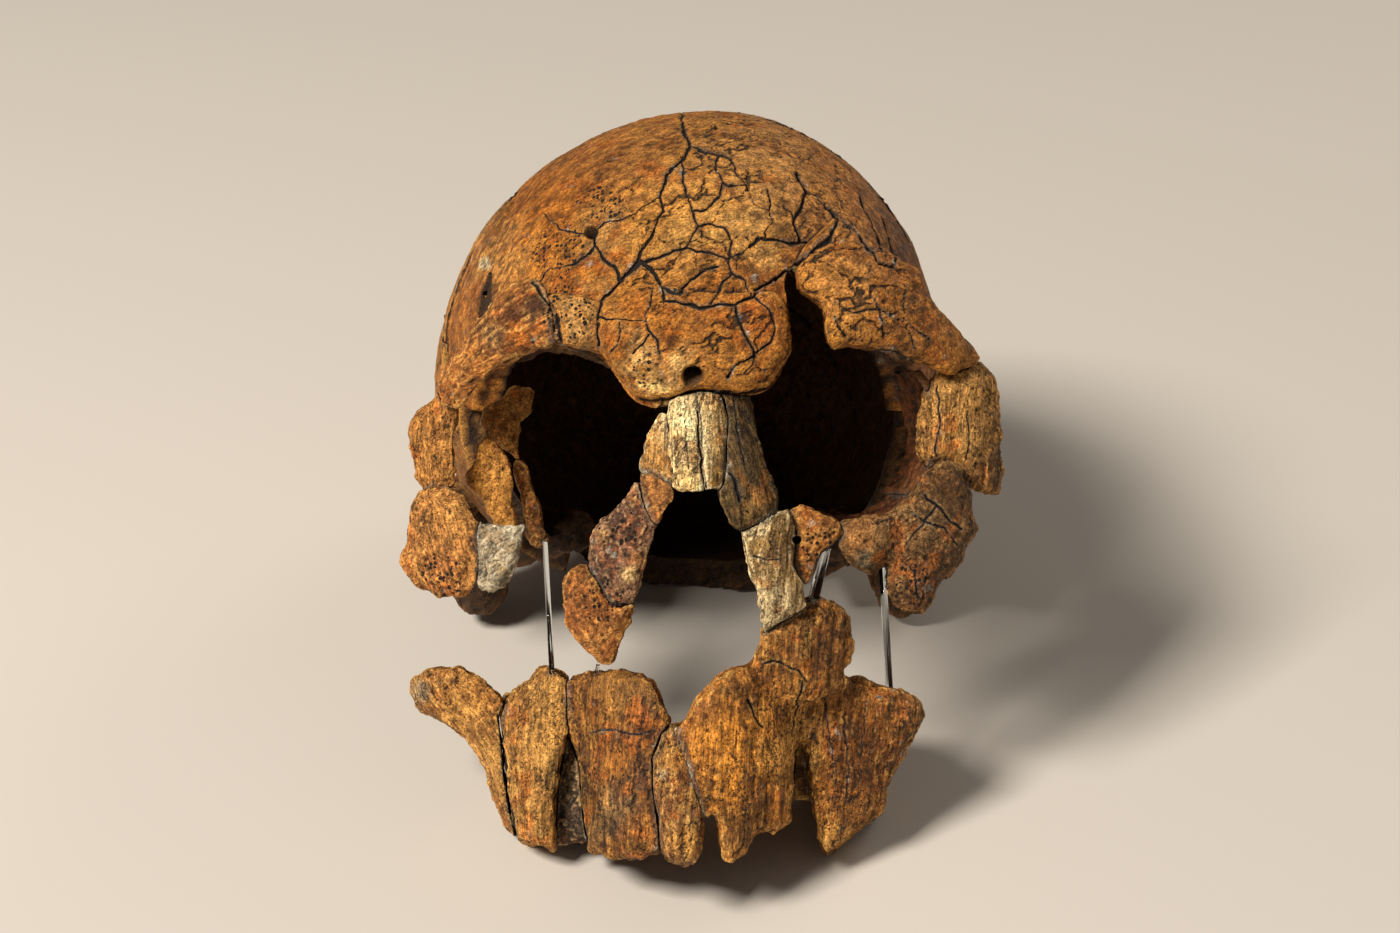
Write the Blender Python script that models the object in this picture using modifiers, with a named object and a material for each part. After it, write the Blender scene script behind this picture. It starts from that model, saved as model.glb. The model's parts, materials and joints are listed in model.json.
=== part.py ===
"""A fossil hominin cranium put together from its broken pieces, with the small rods that hold some of them.

Everything is first modelled in the face frame, in millimetres: X to the viewer's right, Y back from the
glabella, Z up from the height of the viewer's eye. seat() then turns it to lie as it rests, in metres.
"""

import math
import random
from dataclasses import dataclass
from typing import Callable

import bmesh
import bpy
import numpy as np
from mathutils import Matrix, Vector

# Driving sizes of the real thing, in millimetres.
FACE_HEIGHT = 91.0  # nasion to the front edge of the tooth row
VAULT_LENGTH = 168.0
VAULT_HALVES = {-1: 61.0, 1: 51.5}  # its width each side of its crown, which the ages have pushed over
VAULT_TOP = 78.6  # above the viewer's eye
VAULT_FLOOR = -33.0
VAULT_MIDDLE = (2.5, 88.0, 18.0)
FACE_MIDDLE = -1.2
VAULT_FRONT = 4.0  # the forehead starts this far behind the glabella
VAULT_WALL = 6.5
PINCH = 0.15  # share of its width that the braincase loses behind the orbits
PINCH_DEPTH = 31.0
PINCH_REACH = 17.0
SEAM = 0.35  # the gap between two pieces that meet
WEAR = 0.75  # how far a fragment's outline draws in as its edges are rounded

# Front view: where the rows and columns of the picture lie on the real thing.
NASION_ROW = 397.0
TOOTH_ROW = 861.0
MIDLINE_COLUMN = 694.0
EYE_COLUMN = 700.0
EYE_ROW = 466.5
PIXEL = FACE_HEIGHT / (TOOTH_ROW - NASION_ROW)
VIEW_DISTANCE = 600.0

LEAST_TILT, MOST_TILT = math.radians(15.0), math.radians(40.0)
FLAT = 0.9  # what the floor takes off the lowest points, so that they lie on small flats
MILLIMETRE = 0.001
VOXEL = 0.75
GRID_STEP = 1.5
LEAST_DEPTH = -40.0


# Placing


def seen(column: float, row: float, depth: float) -> Vector:
    """The point behind this place of the front view, at this depth."""
    spread = PIXEL * (1.0 + depth / VIEW_DISTANCE)
    return Vector(((column - EYE_COLUMN) * spread, depth, (EYE_ROW - row) * spread))


def across(column: float) -> float:
    """Millimetres from the midline of the face, as the front view shows them."""
    return (column - MIDLINE_COLUMN) * PIXEL


def up(row: float) -> float:
    """Millimetres above the viewer's eye, as the front view shows them."""
    return (EYE_ROW - row) * PIXEL


# Meshes and Booleans


def collection_of(name: str) -> bpy.types.Collection:
    made = bpy.data.collections.new(name)
    bpy.context.scene.collection.children.link(made)
    return made


def as_object(name: str, bm: bmesh.types.BMesh, where: bpy.types.Collection) -> bpy.types.Object:
    bmesh.ops.recalc_face_normals(bm, faces=bm.faces)
    mesh = bpy.data.meshes.new(name)
    bm.to_mesh(mesh)
    bm.free()
    obj = bpy.data.objects.new(name, mesh)
    where.objects.link(obj)
    return obj


def helper(name: str, bm: bmesh.types.BMesh) -> bpy.types.Object:
    obj = as_object(name, bm, bpy.data.collections["cutters"])
    obj.hide_render = True
    obj.display_type = "WIRE"
    return obj


def bake(obj: bpy.types.Object) -> bpy.types.Object:
    """Turns the object's modifiers into mesh."""
    bpy.context.view_layer.update()
    graph = bpy.context.evaluated_depsgraph_get()
    mesh = bpy.data.meshes.new_from_object(obj.evaluated_get(graph))
    obj.modifiers.clear()
    obj.data = mesh
    return obj


def combine(obj: bpy.types.Object, others: list, operation: str) -> bpy.types.Object:
    """Joins, cuts or crosses closed meshes. The exact solver is slow on voxel meshes, so it isn't used."""
    for other in others:
        step = obj.modifiers.new(operation.lower(), "BOOLEAN")
        step.operation = operation
        step.solver = "MANIFOLD"
        step.object = other
    bake(obj)
    return obj


def discard(*objects: bpy.types.Object) -> None:
    for obj in objects:
        bpy.data.objects.remove(obj)


def keep_largest(obj: bpy.types.Object) -> None:
    """Drops every closed surface but the largest: loose scraps, and hollows sealed by fusing."""
    bm = bmesh.new()
    bm.from_mesh(obj.data)
    left = set(bm.faces)
    islands = []
    while left:
        found = {left.pop()}
        edge = list(found)
        while edge:
            near = {f for face in edge for e in face.edges for f in e.link_faces} - found
            found |= near
            edge = list(near)
        left -= found
        islands.append(found)
    islands.sort(key=lambda faces: sum(f.calc_area() for f in faces), reverse=True)
    scraps = [f for faces in islands[1:] for f in faces]
    bmesh.ops.delete(bm, geom=scraps, context="FACES")
    bm.to_mesh(obj.data)
    bm.free()


def is_closed(mesh: bpy.types.Mesh) -> bool:
    bm = bmesh.new()
    bm.from_mesh(mesh)
    closed = all(e.is_manifold for e in bm.edges) and all(v.is_manifold for v in bm.verts)
    bm.free()
    return closed


def fewer(obj: bpy.types.Object, triangles: int) -> bpy.types.Object:
    """Keeps about this many triangles, and more where the surface would open otherwise."""
    full = obj.data
    full.calc_loop_triangles()
    for share in (1.0, 1.2, 1.5, 2.0, 2.6):
        ratio = share * triangles / len(full.loop_triangles)
        if ratio >= 1.0:
            break
        thin = obj.modifiers.new("fewer", "DECIMATE")
        thin.use_collapse_triangulate = True
        thin.ratio = ratio
        bake(obj)
        if is_closed(obj.data):
            return obj
        obj.data = full
    return obj


def organic(obj: bpy.types.Object, triangles: int, rounds: int = 5, voxel: float = VOXEL) -> bpy.types.Object:
    """Rounds the edges as worn bone has them, and keeps about this many triangles."""
    remesh = obj.modifiers.new("voxels", "REMESH")
    remesh.mode = "VOXEL"
    remesh.voxel_size = voxel
    remesh.adaptivity = 0.0
    smooth = obj.modifiers.new("worn", "SMOOTH")
    smooth.factor = 0.5
    smooth.iterations = rounds
    bake(obj)
    keep_largest(obj)
    return fewer(obj, triangles)


def prism(name: str, outline: list, axis: int, low: float, high: float) -> bpy.types.Object:
    """A flat outline drawn out along one axis. Its two numbers are the other two coordinates, in order."""
    bm = bmesh.new()
    corners = []
    for first, second in outline:
        place = [first, second]
        place.insert(axis, low)
        corners.append(bm.verts.new(place))
    base = bm.faces.new(corners)
    drawn = bmesh.ops.extrude_face_region(bm, geom=[base])["geom"]
    step = Vector([high - low if i == axis else 0.0 for i in range(3)])
    bmesh.ops.translate(bm, verts=[v for v in drawn if isinstance(v, bmesh.types.BMVert)], vec=step)
    bmesh.ops.triangulate(bm, faces=bm.faces)
    return helper(name, bm)


def sight_prism(name: str, outline: list, near: float, far: float) -> bpy.types.Object:
    """A front-view outline drawn out along the lines of sight, so that it keeps its place in the view."""
    bm = bmesh.new()
    base = bm.faces.new([bm.verts.new(seen(column, row, near)) for column, row in outline])
    drawn = bmesh.ops.extrude_face_region(bm, geom=[base])["geom"]
    moved = [v for v in drawn if isinstance(v, bmesh.types.BMVert)]
    spread = (1.0 + far / VIEW_DISTANCE) / (1.0 + near / VIEW_DISTANCE)
    for vert in moved:
        vert.co = Vector((vert.co.x * spread, far, vert.co.z * spread))
    bmesh.ops.triangulate(bm, faces=bm.faces)
    return helper(name, bm)


def blob(name: str, middle: tuple, radii: tuple, turn: float = 0.0, detail: int = 2) -> bpy.types.Object:
    """An ellipsoid, turned about the X axis."""
    bm = bmesh.new()
    bmesh.ops.create_icosphere(bm, subdivisions=detail, radius=1.0)
    shape = Matrix.Translation(middle) @ Matrix.Rotation(turn, 4, "X") @ Matrix.Diagonal((*radii, 1.0))
    bmesh.ops.transform(bm, matrix=shape, verts=bm.verts)
    return helper(name, bm)


def taper(name: str, start: Vector, end: Vector, radii: tuple, sides: int = 10) -> bpy.types.Object:
    """A round bar from start to end, with its two radii."""
    bm = bmesh.new()
    line = Vector(end) - Vector(start)
    bmesh.ops.create_cone(
        bm, cap_ends=True, segments=sides, radius1=radii[0], radius2=radii[1], depth=line.length
    )
    turn = line.to_track_quat("Z", "Y").to_matrix().to_4x4()
    bmesh.ops.transform(
        bm, matrix=Matrix.Translation((Vector(start) + Vector(end)) / 2) @ turn, verts=bm.verts
    )
    return helper(name, bm)


# The braincase


def vault_width(flank: int, depth: float, height: float) -> float:
    """The braincase's width on one flank, less where it is drawn in behind the orbits."""
    lower = min(max((30.0 - height) / 22.0, 0.0), 1.0)
    drawn_in = PINCH * lower * math.exp(-(((depth - PINCH_DEPTH) / PINCH_REACH) ** 2))
    return VAULT_HALVES[flank] * (1.0 - drawn_in)


def inward(flank: int, inset: float) -> float:
    """The place across, this far in from the widest part of the flank."""
    return VAULT_MIDDLE[0] + flank * (VAULT_HALVES[flank] - inset)


def vault_point(direction: Vector, inset: float) -> Vector:
    """Where the braincase's surface lies in this direction from its middle, inset millimetres further in."""
    side, back, high = direction
    flank = -1 if side < 0 else 1
    fullness = 2.25 if back < 0 else 2.1
    length = (math.hypot(side, high) ** fullness + abs(back) ** fullness) ** (1 / fullness)
    side, back, high = side / length, back / length, high / length
    middle = Vector(VAULT_MIDDLE)
    reach = (VAULT_LENGTH - middle.y if back > 0 else middle.y - VAULT_FRONT) - inset
    rise = (VAULT_TOP - middle.z if high > 0 else middle.z - VAULT_FLOOR) - inset
    depth = middle.y + reach * back
    height = middle.z + rise * high
    return Vector((middle.x + (vault_width(flank, depth, height) - inset) * side, depth, height))


def vault_shell(name: str) -> bpy.types.Object:
    """The whole braincase as one hollow wall."""
    walls = []
    for label, inset, detail in (("outside", 0.0, 4), ("inside", VAULT_WALL, 3)):
        bm = bmesh.new()
        bmesh.ops.create_icosphere(bm, subdivisions=detail, radius=1.0)
        for vert in bm.verts:
            vert.co = vault_point(vert.co, inset)
        walls.append(helper(f"{name}_{label}", bm))
    combine(walls[0], walls[1:], "DIFFERENCE")
    discard(walls[1])
    return walls[0]


def jagged(points: list, step: float, reach: float, seed: int) -> list:
    """A line through these points that wanders as a suture does."""
    draw = random.Random(seed)
    line = [Vector(points[0])]
    for start, end in zip(points, points[1:]):
        start, end = Vector(start), Vector(end)
        count = max(1, round((end - start).length / step))
        normal = Vector((end.y - start.y, start.x - end.x)).normalized()
        for i in range(1, count + 1):
            wander = draw.uniform(-reach, reach) if i < count else 0.0
            line.append(start.lerp(end, i / count) + normal * wander)
    return [tuple(point) for point in line]


# Side view, as (depth, height): the sutures, and how far each bone reaches.
CORONAL = [(77, 96), (77, 79), (69, 58), (60, 38), (50, 14)]
SQUAMOSAL = [(50, 14), (60, 26), (75, 33), (92, 31), (108, 22), (120, 10), (131, 1)]
LAMBDOID = [(131, 1), (139, 17), (147, 32), (157, 47), (166, 60)]
FRONTAL_EDGE = [(50, 14), (46, 12), (40, 19), (33, 24), (24, 25), (-12, 20), (-12, 96), (77, 96)]
TEMPORAL_EDGE = [(131, 1), (129, -12), (121, -22), (103, -27), (92, -19), (78, -14), (62, -9), (54, 1), (50, 14)]
OCCIPITAL_EDGE = [(131, 1), (129, -12), (121, -22), (117, -50), (180, -50), (180, 60), (166, 60)]
SUTURE_STEP = 5.0
SUTURE_WANDER = 1.3


def suture(points: list, seed: int) -> list:
    return jagged(points, SUTURE_STEP, SUTURE_WANDER, seed)


def shrunk(name: str, outline: list) -> bpy.types.Object:
    """A side-view outline drawn out from side to side."""
    return prism(name, outline, 0, -90.0, 90.0)


# Front view, in columns and rows of the picture.
BELOW_THE_FOREHEAD = [
    (380, 300), (500, 299), (530, 283), (544, 297), (556, 346), (598, 349), (604, 308), (640, 274),
    (700, 285), (777, 281), (785, 271), (806, 248), (838, 221), (866, 240), (900, 268), (1010, 272),
    (1010, 700), (380, 700),
]  # fmt: skip
RIGHT_TEMPLE_SLOT = [(485, 279), (492, 284), (494, 300), (489, 320), (482, 312), (480, 294)]
FOREHEAD_PIT = (590.0, 231.0)


def frontal_bone(shell: bpy.types.Object) -> bpy.types.Object:
    """The forehead, from the brow back to the coronal suture."""
    front = shrunk("front", suture(CORONAL, 1)[:-1] + FRONTAL_EDGE[:-1])
    brow = sight_prism("brow_line", BELOW_THE_FOREHEAD, LEAST_DEPTH, 23.0)
    slot = sight_prism("slot", RIGHT_TEMPLE_SLOT, 10.0, 80.0)
    pit = blob("pit", seen(*FOREHEAD_PIT, 15.0), (1.1, 3.0, 1.0))
    combine(shell, [front], "INTERSECT")
    combine(shell, [brow, slot, pit], "DIFFERENCE")
    discard(front, brow, slot, pit)
    return shell


def parietal_bone(shell: bpy.types.Object, side: int) -> bpy.types.Object:
    """One side of the roof, between the coronal, squamosal and lambdoid sutures."""
    outline = suture(CORONAL, 1)[::-1] + [(166, 96)] + suture(LAMBDOID, 3)[::-1] + suture(SQUAMOSAL, 2)[::-1][1:-1]
    roof = shrunk("roof", outline)
    ridge = jagged([(0.0, 60.0), (1.5, 120.0), (0.5, 190.0)], 5.0, 1.2, 4)
    half = prism("half", ridge + [(side * 100.0, 190.0), (side * 100.0, 60.0)], 2, -60.0, 120.0)
    combine(shell, [roof, half], "INTERSECT")
    discard(roof, half)
    return shell


def temporal_bone(shell: bpy.types.Object, side: int) -> bpy.types.Object:
    """The squama, with the mastoid part below and the broken root of the cheek arch in front."""
    cut = shrunk("squama", suture(SQUAMOSAL, 2)[:-1] + TEMPORAL_EDGE[:-1])
    inner, outer = inward(side, 28.0), inward(side, -40.0)
    half = prism("half", [(inner, -60), (inner, 200), (outer, 200), (outer, -60)], 2, -60.0, 120.0)
    combine(shell, [cut, half], "INTERSECT")
    mastoid = blob("mastoid", (inward(side, 7.5), 108, -21), (8.5, 12.5, 15.0), math.radians(-18))
    crest = blob("crest", (inward(side, 3.0), 98, -7), (5.5, 22, 4.5), math.radians(8))
    arch = taper("arch", (inward(side, 3.5), 88, -10), (inward(side, 0.5), 67, -14), (5.2, 3.4))
    petrous = taper("petrous", (inward(side, 9.0), 101, -17), (inward(side, 33.0), 84, -14), (8.5, 4.5))
    ear = taper("ear", (inward(side, -13.0), 96, -14), (inward(side, 9.0), 94, -14), (2.9, 2.9), 12)
    combine(shell, [mastoid, crest, arch, petrous], "UNION")
    combine(shell, [ear], "DIFFERENCE")
    discard(cut, half, mastoid, crest, arch, petrous, ear)
    keep_largest(shell)
    return shell


def occipital_bone(shell: bpy.types.Object) -> bpy.types.Object:
    """The back, down to the broken rim of the great foramen."""
    cut = shrunk("back", suture(LAMBDOID, 3)[:-1] + OCCIPITAL_EDGE[::-1][:-1])
    torus = blob("torus", (FACE_MIDDLE, 156.5, -2), (17, 6.5, 4.0), math.radians(20))
    foramen = blob("foramen", (FACE_MIDDLE, 113, -28), (13, 11, 20))
    combine(shell, [cut], "INTERSECT")
    combine(shell, [torus], "UNION")
    combine(shell, [foramen], "DIFFERENCE")
    discard(cut, torus, foramen)
    keep_largest(shell)
    return shell


# The pieces of the face


@dataclass
class Fragment:
    """A piece of bone known by its outline in the front view."""

    name: str
    outline: list
    depth: Callable[[float, float], float]  # of its front, from the place across and up
    thickness: float
    rim: float = 3.0  # how far in from the edge its front curves away
    crown: float = 1.4  # how far back the front falls at the edge
    slope: float = 0.0  # extra thickness per millimetre downward


def outset(outline: list, by: float) -> list:
    """The outline with each side moved out by this many pixels, to make up for what wear takes off."""
    loop = [Vector(point) for point in outline]
    area = sum(a.x * b.y - b.x * a.y for a, b in zip(loop, loop[1:] + loop[:1]))
    sign = 1.0 if area > 0 else -1.0
    moved = []
    for before, corner, after in zip(loop[-1:] + loop[:-1], loop, loop[1:] + loop[:1]):
        first = (corner - before).normalized()
        second = (after - corner).normalized()
        away = Vector((first.y + second.y, -first.x - second.x)) * sign
        away.normalize()
        turn = max(0.6, math.sqrt(max(0.0, (1.0 + first.dot(second)) / 2)))
        moved.append(tuple(corner + away * by / turn))
    return moved


def area_of(outline: list) -> float:
    """Square millimetres inside a front-view outline."""
    crossed = sum(a[0] * b[1] - b[0] * a[1] for a, b in zip(outline, outline[1:] + outline[:1]))
    return abs(crossed) / 2 * PIXEL**2


def edge_distance(place: Vector, outline: list) -> float:
    """Pixels from this place to the nearest side of the outline."""
    nearest = 1e9
    for start, end in zip(outline, outline[1:] + outline[:1]):
        a, b = Vector(start), Vector(end)
        line = b - a
        share = min(max((place - a).dot(line) / line.length_squared, 0.0), 1.0)
        nearest = min(nearest, (place - a - line * share).length)
    return nearest


def fragment_raw(piece: Fragment) -> bpy.types.Object:
    """A curved slab with the fragment's outline, before it is worn and cut clear of its neighbours."""
    outline = outset(piece.outline, WEAR / PIXEL)
    columns = [point[0] for point in outline]
    rows = [point[1] for point in outline]
    margin = 6.0
    wide = (max(columns) - min(columns) + 2 * margin) * PIXEL
    tall = (max(rows) - min(rows) + 2 * margin) * PIXEL
    bm = bmesh.new()
    bmesh.ops.create_grid(
        bm, x_segments=max(2, round(wide / GRID_STEP)), y_segments=max(2, round(tall / GRID_STEP)), size=0.5
    )
    middle_row = (max(rows) + min(rows)) / 2
    front = []
    for vert in bm.verts:
        column = (max(columns) + min(columns)) / 2 + vert.co.x * wide / PIXEL
        row = middle_row - vert.co.y * tall / PIXEL
        inside = min(edge_distance(Vector((column, row)), outline) * PIXEL / piece.rim, 1.0)
        fall = piece.crown * (1.0 - inside) ** 2
        depth = piece.depth(across(column), up(row)) + fall
        back = piece.thickness + piece.slope * (row - middle_row) * PIXEL - fall
        front.append((vert, column, row, depth, depth + max(back, 1.2)))
    bm.verts.ensure_lookup_table()
    drawn = bmesh.ops.extrude_face_region(bm, geom=bm.faces[:])["geom"]
    behind = {}
    for vert in (v for v in drawn if isinstance(v, bmesh.types.BMVert)):
        behind[(round(vert.co.x, 5), round(vert.co.y, 5))] = vert
    for vert, column, row, near, far in front:
        back = behind[(round(vert.co.x, 5), round(vert.co.y, 5))]
        vert.co = seen(column, row, near)
        back.co = seen(column, row, far)
    bmesh.ops.triangulate(bm, faces=bm.faces)
    slab = helper(piece.name, bm)
    edge = sight_prism("edge", outline, LEAST_DEPTH, 120.0)
    combine(slab, [edge], "INTERSECT")
    discard(edge)
    return slab


def upper_face(side: float, high: float) -> float:
    """Depth of the brow: it sweeps back to the sides, and up into the forehead."""
    return -1.0 + 20.0 * (abs(side) / 57.0) ** 2.2 + 0.02 * max(0.0, high - 26.0) ** 2


def glabella_face(side: float, high: float) -> float:
    rise = high - 22.0
    return -1.8 + (0.033 if rise > 0 else 0.045) * rise**2 + 0.007 * side**2


def nose_face(side: float, high: float) -> float:
    """Depth of the nasal bones and of what slopes off them to the orbits."""
    bridge = 2.0 - 0.26 * (16.0 - high)
    return max(bridge, -4.0) + 0.5 * max(0.0, abs(side) - 3.0) - 0.01 * max(0.0, abs(side) - 18.0) ** 2


def nasal_margin_face(side: float, high: float) -> float:
    """Depth of the bone beside the nasal opening."""
    return 1.0 + 0.28 * max(0.0, abs(side) - 13.0) + 0.04 * max(0.0, -high - 10.0)


def cheek_face(side: float, high: float) -> float:
    """Depth of the flat, forward-set cheek."""
    return 4.5 + 12.0 * (abs(side) / 55.0) ** 2.4 + 0.06 * max(0.0, -high - 12.0)


def orbit_side_face(side: float, high: float) -> float:
    return 18.0 + 0.55 * (abs(side) - 50.0)


def jaw_face(side: float, high: float) -> float:
    """Depth of the tooth row's arc, with the cheek roots flaring out above it."""
    arc = -2.5 + 0.030 * side**2 + 0.0000105 * side**4
    return min(arc, 15.0 + 0.45 * (abs(side) - 25.0)) - 0.03 * min(0.0, high + 58.0)


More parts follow.
